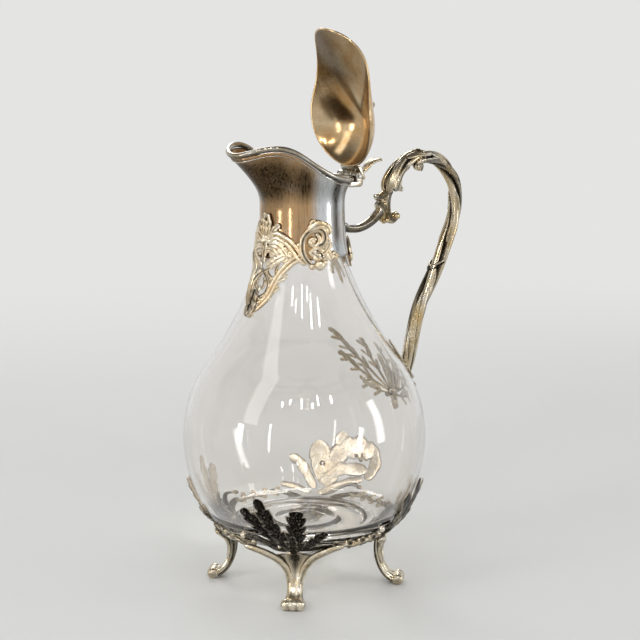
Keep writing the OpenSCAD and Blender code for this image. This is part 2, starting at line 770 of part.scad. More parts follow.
// Headings, shares of the longest frond and half angles of the fronds at the handle's foot, one side
spray_leaves = [[90, 0.71, 10.5], [68, 0.92, 10.5], [42, 1, 12], [20, 0.75, 9]];
spray_base = 10;
module handle_spray() {
    left = [for (leaf = spray_leaves) each leaf_corners(-leaf[0], leaf[1] * frond_l, leaf[2])];
    right = [for (i = [len(spray_leaves) - 1:-1:0])
        let (leaf = spray_leaves[i])
        each leaf_corners(leaf[0], leaf[1] * frond_l, leaf[2])];
    color("silver")
        glass_plate(180, handle_foot_z, [
            each left, [0, spray_base * 1.4], each right,
            spray_base * [0.6, -0.7], [0, -spray_base], spray_base * [-0.6, -0.7]
        ]);
}

// Legs: a strap that curves from under the glass out to a scrolled toe
toe_z = toe_size - 0.4;
leg_top_r = base_r + 1;
leg_line = bezier_points(
    [leg_top_r, base_z - 2], [leg_top_r - 3, base_z * 0.5], [leg_top_r + 3, toe_z - 1], [toe_r, toe_z], 10);
leg_shoulder_z = base_z - 0.6;
strap_steps = 8;
toe_sweep = 140;
leg_side = let (above = shifted_curve(leg_line, leg_t / 2))
    let (below = shifted_curve(leg_line, -leg_t / 2))
    [
        for (i = [0:strap_steps]) above[i],
        for (a = [toe_sweep:-10:-toe_sweep]) [toe_r + toe_size * cos(a), toe_z + toe_size * sin(a)],
        for (i = [strap_steps:-1:0]) below[i]
    ];

// The seat that carries the glass, drawn from the side
seat_side = [
    [base_r - leg_seat, base_z], [base_r, base_z], [base_r, leg_shoulder_z],
    [leg_top_r + leg_t / 2, leg_shoulder_z], [leg_top_r + leg_t / 2, base_z - 6],
    [leg_top_r - leg_t / 2, base_z - 6], [base_r - leg_seat, base_z - 3.5]
];

// Half of the leg's width at its heights, seen from the front
leg_front = [
    [hoof_w / 2, 0], [hoof_w / 2, toe_z * 1.6], [leg_waist / 2, base_z * 0.42],
    [leg_waist / 2, base_z * 0.62], [leg_top_w / 2, base_z - 4], [leg_top_w / 2, base_z + 1]
];

module side_view(outline) {
    rotate([90, 0, 0])
        linear_extrude(height = leg_top_w * 2, center = true)
            polygon(outline);
}

module leg(angle) {
    color("gray")
        rotate([0, 0, angle])
            intersection() {
                union() {
                    side_view(leg_side);
                    side_view(seat_side);
                }
                rotate([90, 0, 90])
                    linear_extrude(height = toe_r * 2)
                        polygon([each leg_front,
                            for (i = [len(leg_front) - 1:-1:0]) [-leg_front[i][0], leg_front[i][1]]]);
            }
}

// Headings of the leaves in each foot's fan, and the lengths of its side leaves, strap and twig
fan_root_z = base_z + 6;
tall_heading = 30;
middle_heading = -9.5;
outer_l = 36;
twig_l = 31;
low_leaf_l = 22;
strap_l = 23;
fan_base = 5;
module leaf_fan(angle) {
    corners = [
        each leaf_corners(-93, strap_l, 9),
        each leaf_corners(-64, low_leaf_l, 14),
        each leaf_corners(middle_heading, middle_leaf / cos(middle_heading), 18),
        each leaf_corners(tall_heading, tall_leaf / cos(tall_heading), 13),
        each leaf_corners(54, outer_l, 9.5),
        each leaf_corners(86, twig_l, 9),
        fan_base * [1, -0.9], fan_base * [-1, -0.9]
    ];
    color("dimgray")
        glass_plate(180 - angle, fan_root_z, corners);
}

// A garland along the lower edge of the glass, from one foot's fan to the next
garland_span = 34;
garland_wave = 1.2;
garland_z = fan_root_z - 2;
module garland(angle) {
    steps = 14;
    sides = 8;
    start = 180 - angle + garland_span / 2;
    lift = plate_gap + garland_r;
    loops = [for (i = [0:steps])
        let (a = start - garland_span * i / steps)
        let (z = garland_z + garland_wave * sin(360 * i / steps))
        [for (k = [0:sides - 1])
            let (b = 360 * k / sides)
            on_glass(a, 0, z + garland_r * cos(b), lift + garland_r * sin(b))]];
    color("dimgray")
        capped_solid(loops,
            on_glass(start, 0, garland_z, lift), on_glass(start - garland_span, 0, garland_z, lift));
}

// The whole jug is moved so that its box is centred on the origin
axis_x = (belly_r - loop_reach) / 2;
module placed() {
    translate([axis_x, 0, 0])
        children();
}

front = 180 - foot_angle;
placed() glass_body();
placed() neck_cement();
placed() neck_mount();
placed() rim_moulding();
placed() front_lappet();
placed() back_lappet();
placed() side_scroll(-1);  // left_scroll
placed() side_scroll(1);  // right_scroll
placed() hinge_bracket();
placed() hinge_pin();
placed() lid_hinge_leaf();
placed() lid();
placed() lid_finial();
placed() thumbpiece();
placed() handle_bracket();
placed() handle_arm();
placed() handle_volute();
placed() handle_loop();
placed() handle_bud();
placed() handle_spray();
placed() leg(-front);  // leg_front_left
placed() leg(front);  // leg_front_right
placed() leg(-foot_angle);  // leg_back_left
placed() leg(foot_angle);  // leg_back_right
placed() leaf_fan(-front);  // leaf_fan_front_left
placed() leaf_fan(front);  // leaf_fan_front_right
placed() leaf_fan(-foot_angle);  // leaf_fan_back_left
placed() leaf_fan(foot_angle);  // leaf_fan_back_right
placed() garland(180);  // garland_front
placed() garland(-90);  // garland_left
placed() garland(0);  // garland_back
placed() garland(90);  // garland_right
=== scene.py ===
# Claret jug: a glass body in a silver plated mount, with a domed lid, a vine handle and scroll feet.
# Shapes are worked out in millimetres from the axis of the glass: spout towards -X, handle towards +X.
import math

import bmesh
import bpy
import numpy as np
from mathutils import Matrix


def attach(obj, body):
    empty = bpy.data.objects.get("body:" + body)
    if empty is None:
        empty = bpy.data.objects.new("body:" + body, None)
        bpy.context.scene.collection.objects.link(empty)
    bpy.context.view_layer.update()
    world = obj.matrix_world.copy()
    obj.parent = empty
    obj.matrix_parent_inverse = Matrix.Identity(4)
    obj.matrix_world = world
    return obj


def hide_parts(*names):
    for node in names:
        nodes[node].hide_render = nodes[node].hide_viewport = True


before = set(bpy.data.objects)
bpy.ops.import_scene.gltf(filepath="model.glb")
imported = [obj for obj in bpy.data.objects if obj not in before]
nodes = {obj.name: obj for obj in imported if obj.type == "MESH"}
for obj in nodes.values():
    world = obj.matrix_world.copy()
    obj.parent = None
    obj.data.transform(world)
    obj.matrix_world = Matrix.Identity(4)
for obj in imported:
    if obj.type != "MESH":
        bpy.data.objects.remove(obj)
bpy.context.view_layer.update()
axisX = -27.0825  # mm from the row's origin to the axis of the glass
print("frame loaded:", len(nodes), "nodes")


def newObject(name, data):
    made = bpy.data.objects.new(name, data)
    bpy.context.scene.collection.objects.link(made)
    return made


def stand(made, side, above, away, place):
    # a camera or lamp at a place in metres, with its own axes along side, above and away
    columns = np.column_stack([side, above, away, place])
    made.matrix_world = Matrix([list(row) for row in columns] + [[0, 0, 0, 1]])


# camera
camera = {"distance": 1090, "height": 370, "azimuth": -37.5, "pitch": 10.65, "roll": -0.5,
          "sensorMm": 36, "focalPixels": 1820, "imagePixels": 640, "axisPixel": 303.25}


def placeCamera(c):
    # stands at azimuth and distance from the glass axis, looks down by pitch, and rolls about its view
    azimuth, pitch, roll = (math.radians(c[k]) for k in ("azimuth", "pitch", "roll"))
    away = np.array([math.sin(azimuth), -math.cos(azimuth), 0])
    right = np.array([math.cos(azimuth), math.sin(azimuth), 0])
    look = -away * math.cos(pitch) - np.array([0, 0, math.sin(pitch)])
    above = np.cross(right, look)
    data = bpy.data.cameras.new("camera")
    data.sensor_width = c["sensorMm"]
    data.lens = c["focalPixels"] * c["sensorMm"] / c["imagePixels"]
    data.shift_x = (c["imagePixels"] / 2 - c["axisPixel"]) / c["imagePixels"]
    data.clip_start, data.clip_end = 0.01, 100
    made = newObject("camera", data)
    place = away * c["distance"] + [axisX, 0, c["height"]]
    stand(made, math.cos(roll) * right + math.sin(roll) * above,
          math.cos(roll) * above - math.sin(roll) * right, -look, place / 1000)
    bpy.context.scene.camera = made


placeCamera(camera)


# surfaces: a part is its points, its faces and how dark each point is painted: tarnish in the hollows, and on
# some parts painted shade and painted reflection
def around(count):
    return np.linspace(0, 2 * np.pi, count, endpoint=False)


def bell(x, middle, width):
    # 1 at the middle, falling off as e^-((x - middle) / width)^2
    return np.exp(-((x - middle) / width) ** 2)


def smoothPath(points, count):
    # Catmull-Rom curve through the points, sampled evenly in its parameter
    p = np.asarray(points, float)
    u = np.linspace(0, len(p) - 1, count)
    i = np.minimum(u.astype(int), len(p) - 2)
    t = (u - i)[:, None]
    a, b, c, d = (p[np.clip(i + k, 0, len(p) - 1)] for k in (-1, 0, 1, 2))
    bend = (2 * a - 5 * b + 4 * c - d) * t ** 2 + (3 * b - a - 3 * c + d) * t ** 3
    return 0.5 * (2 * b + (c - a) * t + bend)


def bezier(a, b, c, d, count):
    # cubic Bezier curve: (1-t)^3 a + 3t(1-t)^2 b + 3t^2(1-t) c + t^3 d
    t = np.linspace(0, 1, count)[:, None]
    a, b, c, d = (np.asarray(p, float) for p in (a, b, c, d))
    return (1 - t) ** 3 * a + 3 * t * (1 - t) ** 2 * b + 3 * t * t * (1 - t) * c + t ** 3 * d


def gridQuads(rows, columns, closeRows=False):
    # face (i, j) joins point (i, j) to its neighbours in the next row and the next column
    i, j = np.meshgrid(np.arange(rows - (not closeRows)), np.arange(columns), indexing="ij")
    down, along = (i + 1) % rows * columns, (j + 1) % columns
    return np.stack([i * columns + j, i * columns + along, down + along, down + j], -1).reshape(-1, 4)


def unit(vectors):
    return vectors / np.maximum(np.linalg.norm(vectors, axis=-1, keepdims=True), 1e-9)


def roundEnds(count, share, startShare=None):
    # 1 along the middle, falling to 0 at both ends like a quarter circle
    t = np.linspace(0, 1, count)
    start = np.clip(1 - t / (startShare or share), 0, 1)
    end = np.clip(1 - (1 - t) / share, 0, 1)
    return np.sqrt(1 - start ** 2) * np.sqrt(1 - end ** 2)


def sweep(path, widths, heights, up, sides=12, relief=0, dark=0, closed=False):
    # an ellipse carried along a path: path + (1 + relief) * (width cos b * side + height sin b * out);
    # an open path's ends close on its own end points
    path = np.asarray(path, float)
    tangent = unit(np.roll(path, -1, 0) - np.roll(path, 1, 0) if closed else np.gradient(path, axis=0))
    side = unit(np.cross(np.asarray(up, float), tangent))
    out = np.cross(tangent, side)
    b = around(sides)[None, :, None]
    w = np.broadcast_to(np.asarray(widths, float), len(path))[:, None, None]
    h = np.broadcast_to(np.asarray(heights, float), len(path))[:, None, None]
    lift = 1 + np.broadcast_to(relief, (len(path), sides))[:, :, None]
    points = path[:, None, :] + lift * (w * np.cos(b) * side[:, None, :] + h * np.sin(b) * out[:, None, :])
    recess = np.broadcast_to(dark, (len(path), sides))
    if not closed:
        first, last = (np.broadcast_to(end, (1, sides, 3)) for end in (path[0], path[-1]))
        points = np.concatenate([first, points, last])
        recess = np.concatenate([recess[:1], recess, recess[-1:]])
    return points.reshape(-1, 3), gridQuads(len(points), sides, closed), recess.reshape(-1)


def mapped(part, change):
    # the same faces and shading, with the points moved by a function
    return change(part[0]), part[1], part[2]


def mirrorY(part):
    return part[0] * [1, -1, 1], part[1][:, ::-1], part[2]


def bothSides(parts):
    return parts + [mirrorY(part) for part in parts]


def bead(centre, radius, squash=1, count=10):
    # a ball: centre + radius * (cos p cos q, cos p sin q, squash sin p)
    p, q = np.meshgrid(np.linspace(-np.pi / 2, np.pi / 2, count), around(2 * count), indexing="ij")
    ball = np.stack([np.cos(p) * np.cos(q), np.cos(p) * np.sin(q), squash * np.sin(p)], -1).reshape(-1, 3)
    return np.asarray(centre, float) + radius * ball, gridQuads(count, 2 * count), np.zeros(len(ball))


def makePiece(node, name, parts, finish, body="jug"):
    # joins the parts, merges their seams and poles, and turns their faces outwards
    offsets = np.cumsum([0] + [len(p[0]) for p in parts[:-1]])
    points = np.concatenate([p[0] for p in parts]) + [axisX, 0, 0]
    quads = np.concatenate([p[1] + o for p, o in zip(parts, offsets)])
    mesh = bpy.data.meshes.new(name)
    mesh.from_pydata((points / 1000).tolist(), [], quads.tolist())
    # recess holds painted darkness: tarnish in the hollows, and painted shade and painted reflection on some
    # parts; warmth holds the neck's golden painted reflection
    tones = {"recess": [p[2] for p in parts],
             "warmth": [p[3] if len(p) > 3 else np.zeros(len(p[0])) for p in parts]}
    for key, values in tones.items():
        attribute = mesh.attributes.new(key, "FLOAT", "POINT")
        attribute.data.foreach_set("value", np.concatenate(values).astype(np.float32))
    work = bmesh.new()
    work.from_mesh(mesh)
    bmesh.ops.remove_doubles(work, verts=work.verts, dist=2e-6)
    bmesh.ops.recalc_face_normals(work, faces=work.faces)
    work.to_mesh(mesh)
    work.free()
    mesh.polygons.foreach_set("use_smooth", np.full(len(mesh.polygons), True))
    mesh.materials.append(finish)
    made = newObject(name, mesh)
    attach(made, body)
    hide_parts(node)


# materials
def hexColour(text):
    # sRGB hex to linear: c / 12.92 below 0.04045, else ((c + 0.055) / 1.055) ^ 2.4
    values = [int(text[i:i + 2], 16) / 255 for i in (1, 3, 5)]
    return tuple(v / 12.92 if v <= 0.04045 else ((v + 0.055) / 1.055) ** 2.4 for v in values) + (1,)


def addNode(tree, kind, settings=None, links=None, output=0):
    # settings name a property or an input, links name an input and what feeds it; gives back one output
    made = tree.nodes.new("ShaderNode" + kind)
    for key, value in (settings or {}).items():
        if isinstance(key, str) and hasattr(made, key):
            setattr(made, key, value)
        else:
            made.inputs[key].default_value = value
    for key, source in (links or {}).items():
        tree.links.new(source, made.inputs[key])
    return made.outputs[output] if made.outputs else None


def newMaterial(name):
    material = bpy.data.materials.new(name)
    material.use_nodes = True
    material.node_tree.nodes.clear()
    return material, material.node_tree


castLook = {"bright": "#e6dfcf", "warm": "#c6af86", "dark": "#1d160e", "blotchMm": 12, "warmth": (0.0, 0.9),
            "speckMm": 1.6, "speckFrom": 0.6, "speckAmount": 0.3, "speckDepth": 0.6,
            "recessAmount": 0.95, "recessRough": 0.3, "scratchMm": 1.6, "stretch": (1, 1, 1), "streak": 0.1,
            "rough": (0.18, 0.3), "bump": 0.2, "bumpMm": 0.1, "rippleMm": 3, "rippleDepth": 1.5, "rub": 0.15}


def silverPlate(name, **changes):
    # silver plate: blotches of warm tarnish, sulphide black in the recesses, fine wiping scratches, and the
    # painted shade and painted reflection that a part carries in its recess and warmth attributes
    f = {**castLook, **changes}
    material, tree = newMaterial(name)
    place = addNode(tree, "TexCoord", output="Object")
    blotch = addNode(tree, "TexNoise", {"Scale": 1000 / f["blotchMm"], "Detail": 5.0, "Roughness": 0.62,
                                        "Distortion": 0.6}, {"Vector": place})
    fine = addNode(tree, "TexNoise", {"Scale": 1000 / f["speckMm"], "Detail": 4.0, "Roughness": 0.7},
                   {"Vector": place})
    stretched = addNode(tree, "Mapping", {"Scale": f["stretch"]}, {"Vector": place})
    scratch = addNode(tree, "TexNoise", {"Scale": 1000 / f["scratchMm"], "Detail": 3.0, "Roughness": 0.6},
                      {"Vector": stretched})
    ripple = addNode(tree, "TexNoise", {"Scale": 1000 / f["rippleMm"], "Detail": 1.5}, {"Vector": place})
    # the recess attribute brings tarnish in the hollows together with painted shade and painted reflection
    recess = addNode(tree, "Attribute", {"attribute_name": "recess"}, output="Fac")
    paintedReflection = addNode(tree, "Attribute", {"attribute_name": "warmth"}, output="Fac")
    cloud = addNode(tree, "MapRange", {"From Min": 0.35, "From Max": 0.65, "To Min": f["warmth"][0],
                                       "To Max": f["warmth"][1]}, {"Value": blotch})
    warmth = addNode(tree, "Math", {"operation": "ADD", "use_clamp": True}, {0: cloud, 1: paintedReflection})
    base = addNode(tree, "Mix", {"data_type": "RGBA", 6: hexColour(f["bright"]), 7: hexColour(f["warm"])},
                   {0: warmth}, 2)
    specks = addNode(tree, "MapRange", {"From Min": f["speckFrom"], "From Max": f["speckFrom"] + 0.12,
                                        "To Max": f["speckAmount"]}, {"Value": fine})
    hollowAndPaintedShade = addNode(tree, "Math", {"operation": "MULTIPLY", 1: f["recessAmount"]}, {0: recess})
    scoured = addNode(tree, "MapRange", {"From Min": 0.52, "From Max": 0.68, "To Max": f["streak"]},
                      {"Value": scratch})
    marked = addNode(tree, "Math", {"operation": "ADD"}, {0: specks, 1: scoured})
    stainedAndShaded = addNode(tree, "Math", {"operation": "ADD", "use_clamp": True}, {0: marked, 1: hollowAndPaintedShade})
    rubbed = addNode(tree, "MapRange", {"From Min": 0.36, "From Max": 0.44, "To Min": f["rub"],
                                        "To Max": 0.0}, {"Value": fine})
    darkness = addNode(tree, "Math", {"operation": "SUBTRACT", "use_clamp": True}, {0: stainedAndShaded, 1: rubbed})
    colour = addNode(tree, "Mix", {"data_type": "RGBA", 7: hexColour(f["dark"])}, {0: darkness, 6: base}, 2)
    wear = addNode(tree, "MapRange", {"From Min": 0.3, "From Max": 0.7, "To Min": f["rough"][0],
                                      "To Max": f["rough"][1]}, {"Value": scratch})
    rough = addNode(tree, "Math", {"operation": "MULTIPLY_ADD", 1: f["recessRough"]}, {0: darkness, 2: wear})
    grain = addNode(tree, "Math", {"operation": "MULTIPLY_ADD", 1: f["speckDepth"]}, {0: fine, 2: scratch})
    height = addNode(tree, "Math", {"operation": "MULTIPLY_ADD", 1: f["rippleDepth"]}, {0: ripple, 2: grain})
    bump = addNode(tree, "Bump", {"Strength": f["bump"], "Distance": f["bumpMm"] / 1000}, {"Height": height})
    shader = addNode(tree, "BsdfPrincipled", {"Metallic": 1.0},
                     {"Base Color": colour, "Roughness": rough, "Normal": bump})
    addNode(tree, "OutputMaterial", links={"Surface": shader})
    return material


# sand cast and chased: bright on the high places, black sulphide in the hollows
castSilver = silverPlate("cast silver plate, chased", speckFrom=0.62)
# rolled and polished sheet: mirror bright with soft wiping marks and faint brown blotches; the neck's dark
# bands and golden front are painted reflection
mountSilver = silverPlate(
    "polished silver plate, neck", bright="#d2d5d6", warm="#c09d74", dark="#2a2115", blotchMm=16,
    warmth=(-0.15, 0.2), speckMm=2.2, speckAmount=0.06, speckDepth=0.3, recessRough=0.12, scratchMm=0.9,
    stretch=(1, 1, 0.05), streak=0.3, rough=(0.1, 0.2), bumpMm=0.04, rippleMm=7, rippleDepth=9, rub=0.06)
# the wire round the mouth was wiped often: greyer than the castings
rimSilver = silverPlate(
    "drawn silver plated wire, rim", bright="#c6c3ba", warm="#98835e", dark="#211a12", blotchMm=14,
    warmth=(-0.1, 0.7), speckMm=1.4, speckFrom=0.58, speckAmount=0.4, speckDepth=0.5, recessRough=0.2,
    scratchMm=0.8, rough=(0.14, 0.24), bumpMm=0.06, rippleMm=5, rippleDepth=3, rub=0.1)
# gilt wash inside the lid: warm and smooth, slightly cloudy
lidSilver = silverPlate(
    "silver plate with gilt wash, lid", bright="#e2d1af", warm="#b98f59", dark="#3b2b17", blotchMm=20,
    warmth=(0.25, 0.95), speckMm=2.0, speckDepth=0.3, recessAmount=1.0, recessRough=0.1, scratchMm=0.8,
    rough=(0.12, 0.24), bump=0.15, bumpMm=0.04, rippleMm=9, rippleDepth=8, rub=0.1)
# the plates on the neck: the same casting, left matt, with a cream bloom and brown in every hollow
ornamentSilver = silverPlate(
    "cast silver plate, matt ornament", bright="#f7edd8", warm="#dcc094", dark="#1b1209", blotchMm=11,
    warmth=(0.0, 0.95), speckMm=1.3, speckFrom=0.58, speckAmount=0.45, speckDepth=0.8, recessAmount=1.15,
    rough=(0.24, 0.38), bump=0.25, bumpMm=0.12, rippleMm=2.5, rippleDepth=1.8, rub=0.12)
# the leaves on the feet were never polished: heavy black tarnish, with bright edges
darkSilver = silverPlate(
    "cast silver plate, blackened", bright="#f0e8da", warm="#d8c3a0", dark="#0e0a06", blotchMm=10,
    warmth=(-0.2, 0.6), speckMm=1.0, speckAmount=0.4, speckDepth=1.2, recessAmount=1.0, recessRough=0.15,
    rough=(0.16, 0.28), bump=0.4, bumpMm=0.14, rippleMm=2.5, rub=0.3)
# legs and straps: rubbed to a pale gold on their faces, dark in the flutes, with painted shade on the sides
# that face the glass
legSilver = silverPlate(
    "cast silver plate, rubbed feet", bright="#f0e7d4", warm="#cdb58a", dark="#1a130b", blotchMm=9,
    warmth=(-0.1, 0.8), speckMm=1.8, speckAmount=0.5, speckDepth=0.7, stretch=(1, 1, 0.4),
    bump=0.25, rippleDepth=2, rub=0.25)
# the handle is worn by hands: golden where it was rubbed, with grey and black painted shade between its stems
handleSilver = silverPlate(
    "cast silver plate, worn handle", bright="#d9d5c9", warm="#c2aa7e", dark="#18120b", blotchMm=22,
    warmth=(0.05, 1.0), scratchMm=1.4, rough=(0.16, 0.28), bumpMm=0.08, rippleMm=4, rippleDepth=2)


def clearGlass(f):
    # blown soda-lime glass: smooth, nearly colourless, with slow waves and a thick base that looks warmer
    # and darker than the wall; shadow rays go straight through, so that lamps light what is behind it
    material, tree = newMaterial("soda-lime glass, blown")
    place = addNode(tree, "TexCoord", output="Object")
    wave = addNode(tree, "TexNoise", {"Scale": 1000 / f["waveMm"], "Detail": 1.0}, {"Vector": place})
    bump = addNode(tree, "Bump", {"Strength": 0.25, "Distance": 0.0004}, {"Height": wave})
    tint = addNode(tree, "Mix", {"data_type": "RGBA", 6: hexColour("#fdfcfb"), 7: hexColour("#f8f6f4")},
                   {0: wave}, 2)
    glassy = addNode(tree, "BsdfPrincipled", {"Roughness": 0.0, "IOR": f["ior"], "Transmission Weight": 1.0},
                     {"Base Color": tint, "Normal": bump})
    clear = addNode(tree, "BsdfTransparent", {"Color": hexColour("#f0f0ee")})
    shadow = addNode(tree, "LightPath", output="Is Shadow Ray")
    mixed = addNode(tree, "MixShader", links={0: shadow, 1: glassy, 2: clear})
    depth = addNode(tree, "VolumeAbsorption", {"Color": hexColour(f["depth"]), "Density": f["density"]})
    addNode(tree, "OutputMaterial", links={"Surface": mixed, "Volume": depth})
    return material


def simpleFinish(name, light, shade, grainMm, rough, metal):
    # a plain workshop finish: two tones broken up by grain, with a fine bump
    material, tree = newMaterial(name)
    place = addNode(tree, "TexCoord", output="Object")
    grain = addNode(tree, "TexNoise", {"Scale": 1000 / grainMm, "Detail": 4.0}, {"Vector": place})
    colour = addNode(tree, "Mix", {"data_type": "RGBA", 6: hexColour(light), 7: hexColour(shade)},
                     {0: grain}, 2)
    worn = addNode(tree, "MapRange", {"To Min": rough[0], "To Max": rough[1]}, {"Value": grain})
    bump = addNode(tree, "Bump", {"Strength": 0.4, "Distance": 0.0001}, {"Height": grain})
    shader = addNode(tree, "BsdfPrincipled", {"Metallic": metal},
                     {"Base Color": colour, "Roughness": worn, "Normal": bump})
    addNode(tree, "OutputMaterial", links={"Surface": shader})
    return material


jugGlass = clearGlass({"waveMm": 38, "ior": 1.5, "depth": "#d9d0b8", "density": 6.0})
# plaster of Paris, cast wet: chalky and matt
plaster = simpleFinish("cast plaster", "#e2ddd0", "#cdc6b6", 0.8, (0.8, 0.95), 0.0)
# a length of drawn steel wire: grey, with a soft sheen
pinSteel = simpleFinish("drawn steel pin", "#b9b9b6", "#8f8e8a", 0.6, (0.25, 0.45), 1.0)
for node, finish in (("neck_cement", plaster), ("hinge_pin", pinSteel)):
    nodes[node].data.materials.clear()
    nodes[node].data.materials.append(finish)
print("materials made")

# glass body, with its outline as (radius, height) pairs
glass = {"base": (45, 34), "belly": (74.5, 93), "shoulder": (57.5, 142), "neck": (23, 222), "lipZ": 238,
         "wall": 3, "floorZ": 43, "recessR": 37, "recessDepth": 2, "segments": 192}
outerGlass = np.vstack([
    bezier(glass["base"], (56, 36), (74.5, 62), glass["belly"], 40),
    bezier(glass["belly"], (74.5, 111.13), (69, 127), glass["shoulder"], 26)[1:],
    bezier(glass["shoulder"], (49, 153.5), (23.5, 196), glass["neck"], 40)[1:]])


def atAngle(a, r, z):
    # angle a from the spout, radius r and height z to (-r cos a, r sin a, z)
    return np.stack(np.broadcast_arrays(-r * np.cos(a), r * np.sin(a), z), -1)


def glassRadius(z):
    return np.interp(z, outerGlass[:, 1], outerGlass[:, 0])


def revolve(outline, segments):
    # a closed outline of (radius, height) turned about the Z axis
    points = atAngle(around(segments), outline[:, :1], outline[:, 1:]).reshape(-1, 3)
    return points, gridQuads(len(outline), segments), np.zeros(len(points))


def makeGlass(g):
    # the outline runs from the middle of the ground base, up the outside, over the lip and down the inside
    tangent = unit(np.gradient(outerGlass, axis=0))
    inside = outerGlass - g["wall"] * np.column_stack([tangent[:, 1], -tangent[:, 0]])
    inside = inside[inside[:, 1] > g["floorZ"] + 7]
    start = inside[0]
    floorCurve = bezier(start, start - [4, 5], (start[0] - 12, g["floorZ"]),
                        (start[0] - 24, g["floorZ"] - 0.4), 14)
    (baseR, baseZ), recess = g["base"], g["recessR"]
    ground = baseZ + g["recessDepth"]
    under = [[0, ground + 0.6], [9, ground + 0.45], [18, ground + 0.1], [19, ground - 0.5], [20.2, ground],
             [recess - 1, ground], [recess + 0.6, ground - 0.6], [recess + 2.2, baseZ + 0.3],
             [recess + 3.4, baseZ], [baseR - 1.6, baseZ], [baseR - 0.5, baseZ + 0.1]]
    half, t = g["wall"] / 2, np.linspace(0, np.pi, 9)
    lip = np.column_stack([g["neck"][0] - half + half * np.cos(t), g["lipZ"] - half + half * np.sin(t)])
    return revolve(np.vstack([under, outerGlass, lip, inside[::-1], floorCurve[1:],
                              [[12, g["floorZ"]], [0, g["floorZ"] + 0.2]]]), g["segments"])


makePiece("glass_body", "glass_body_blown", [makeGlass(glass)], jugGlass)
print("glass made")

# neck mount and rim
mount = {"footZ": 206, "flareZ": 236, "throatR": 25.7, "wall": 1.1, "tableZ": (202, 206, 214, 226, 236),
         "tableR": (28.2, 28.2, 26.6, 25.9, 25.7), "rimSide": 28.6, "rimBack": 30, "spoutReach": 49.8,
         "spoutTaper": 4.4, "backZ": 250.4, "climb": 31, "climbPower": 2.6, "dip": 13, "dipAngle": 26.3,
         "mouldingR": 1.7, "stepAt": 0.94, "stepR": 0.4, "segments": 240}
ring = around(mount["segments"])


def degreesFromSpout(a):
    return np.abs(np.degrees((a + np.pi) % (2 * np.pi) - np.pi))


def mountRadius(z):
    return np.interp(z, mount["tableZ"], mount["tableR"])


def rimRadius(a):
    # side radius, drawn out to the spout by cos^taper and to the hinge by cos^2 of the angle from the spout
    c, side = np.cos(a), mount["rimSide"]
    return (side + (mount["spoutReach"] - side) * np.maximum(c, 0) ** mount["spoutTaper"]
            + (mount["rimBack"] - side) * np.maximum(-c, 0) ** 2)


def rimHeight(a):
    # climbs from the hinge by ((1 + cos a) / 2)^climbPower and dips at the spout like a bell curve
    return (mount["backZ"] + mount["climb"] * ((1 + np.cos(a)) / 2) ** mount["climbPower"]
            - mount["dip"] * bell(degreesFromSpout(a), 0, mount["dipAngle"]))


def flare(a, t):
    # radius and height at share t of the flare, which curls out as t^p
    p = 1.4 + 1.4 * ((1 - np.cos(a)) / 2) ** 0.6
    r = mount["throatR"] + (rimRadius(a) - mount["throatR"]) * t ** p
    return r, mount["flareZ"] + (rimHeight(a) - mount["mouldingR"] - 0.3 - mount["flareZ"]) * t


def mountPaintedReflection(a, z):
    # painted reflection by angle and height: dark in front and in two bands, ramped below the rim; a golden
    # painted reflection in front
    turned = degreesFromSpout(a)
    front = np.clip((80 - turned) / 20, 0, 1)
    below = np.clip(1.05 * np.clip((z - 238) / (rimHeight(a) - 238), 0, 1), 0, 1)
    dark = 0.45 * bell(turned, 0, 20) + (0.3 + 0.62 * front) * np.sin(np.pi * below) ** 0.9
    bands = 0.85 * bell(turned, 103, 7) + 0.45 * bell(turned, 132, 8)
    dark = dark + bands * np.clip((z - 207) / 12, 0.35, 1) + 0.12 * np.sin(a * 11 + z * 0.05) * front
    return np.clip(dark, 0, 0.92), front * front * (3 - 2 * front) * 0.95


def makeMount(m):
    # outside rows go up the tube and the flare, inside rows come back down one wall closer to the axis
    tubeZ = np.linspace(m["footZ"], m["flareZ"], 14)[:-1, None] + 0 * ring
    flareR, flareZ = flare(ring[None], np.linspace(0, 1, 26)[:, None])
    r, z = np.vstack([mountRadius(tubeZ), flareR]), np.vstack([tubeZ, flareZ])
    bothR, bothZ = np.vstack([r, r[::-1] - m["wall"]]), np.vstack([z, z[::-1]])
    # painted reflection on the neck: darkness and golden warmth by angle and height
    dark, warm = mountPaintedReflection(ring + 0 * bothZ, bothZ)
    points = atAngle(ring, bothR, bothZ).reshape(-1, 3)
    return points, gridQuads(len(bothR), len(ring), True), dark.reshape(-1), warm.reshape(-1)


def wire(centre, size, sides, dark=0):
    # a round wire along a line round the mouth: centre + size * (cos b * away from the axis + sin b * up)
    b = around(sides)[:, None]
    points = centre[:, None, :] + size * (np.cos(b) * atAngle(ring, 1, 0)[:, None, :] + np.sin(b) * [0, 0, 1])
    recess = np.broadcast_to(dark, (len(ring), sides)).reshape(-1)
    return points.reshape(-1, 3), gridQuads(len(ring), sides, True), recess


makePiece("neck_mount", "neck_mount_sheet", [makeMount(mount)], mountSilver)
stepR, stepZ = flare(ring, mount["stepAt"])
# the mouth's wire is darker on its underside, as painted shade
makePiece("rim_moulding", "rim_moulding_wire", [
    wire(atAngle(ring, rimRadius(ring), rimHeight(ring)), mount["mouldingR"], 14,
         np.clip(0.1 - np.sin(around(14)), 0, 0.85)),
    wire(atAngle(ring, stepR + 0.4 * mount["stepR"], stepZ), mount["stepR"], 8)], rimSilver)
print("mount made")

# lid, drawn shut and then turned open
lid = {"open": 64.5, "hingeX": 36.8, "hingeZ": 251.0, "domeX": 6.5, "domeZ": 276.4, "wall": 1.1, "gap": 0.4,
       "over": 0.3, "backOver": 1.5, "tipOver": 2.2, "sideRise": 2.5, "fullness": 0.75, "rows": 30,
       "finialZ": 276.7, "petals": 5}


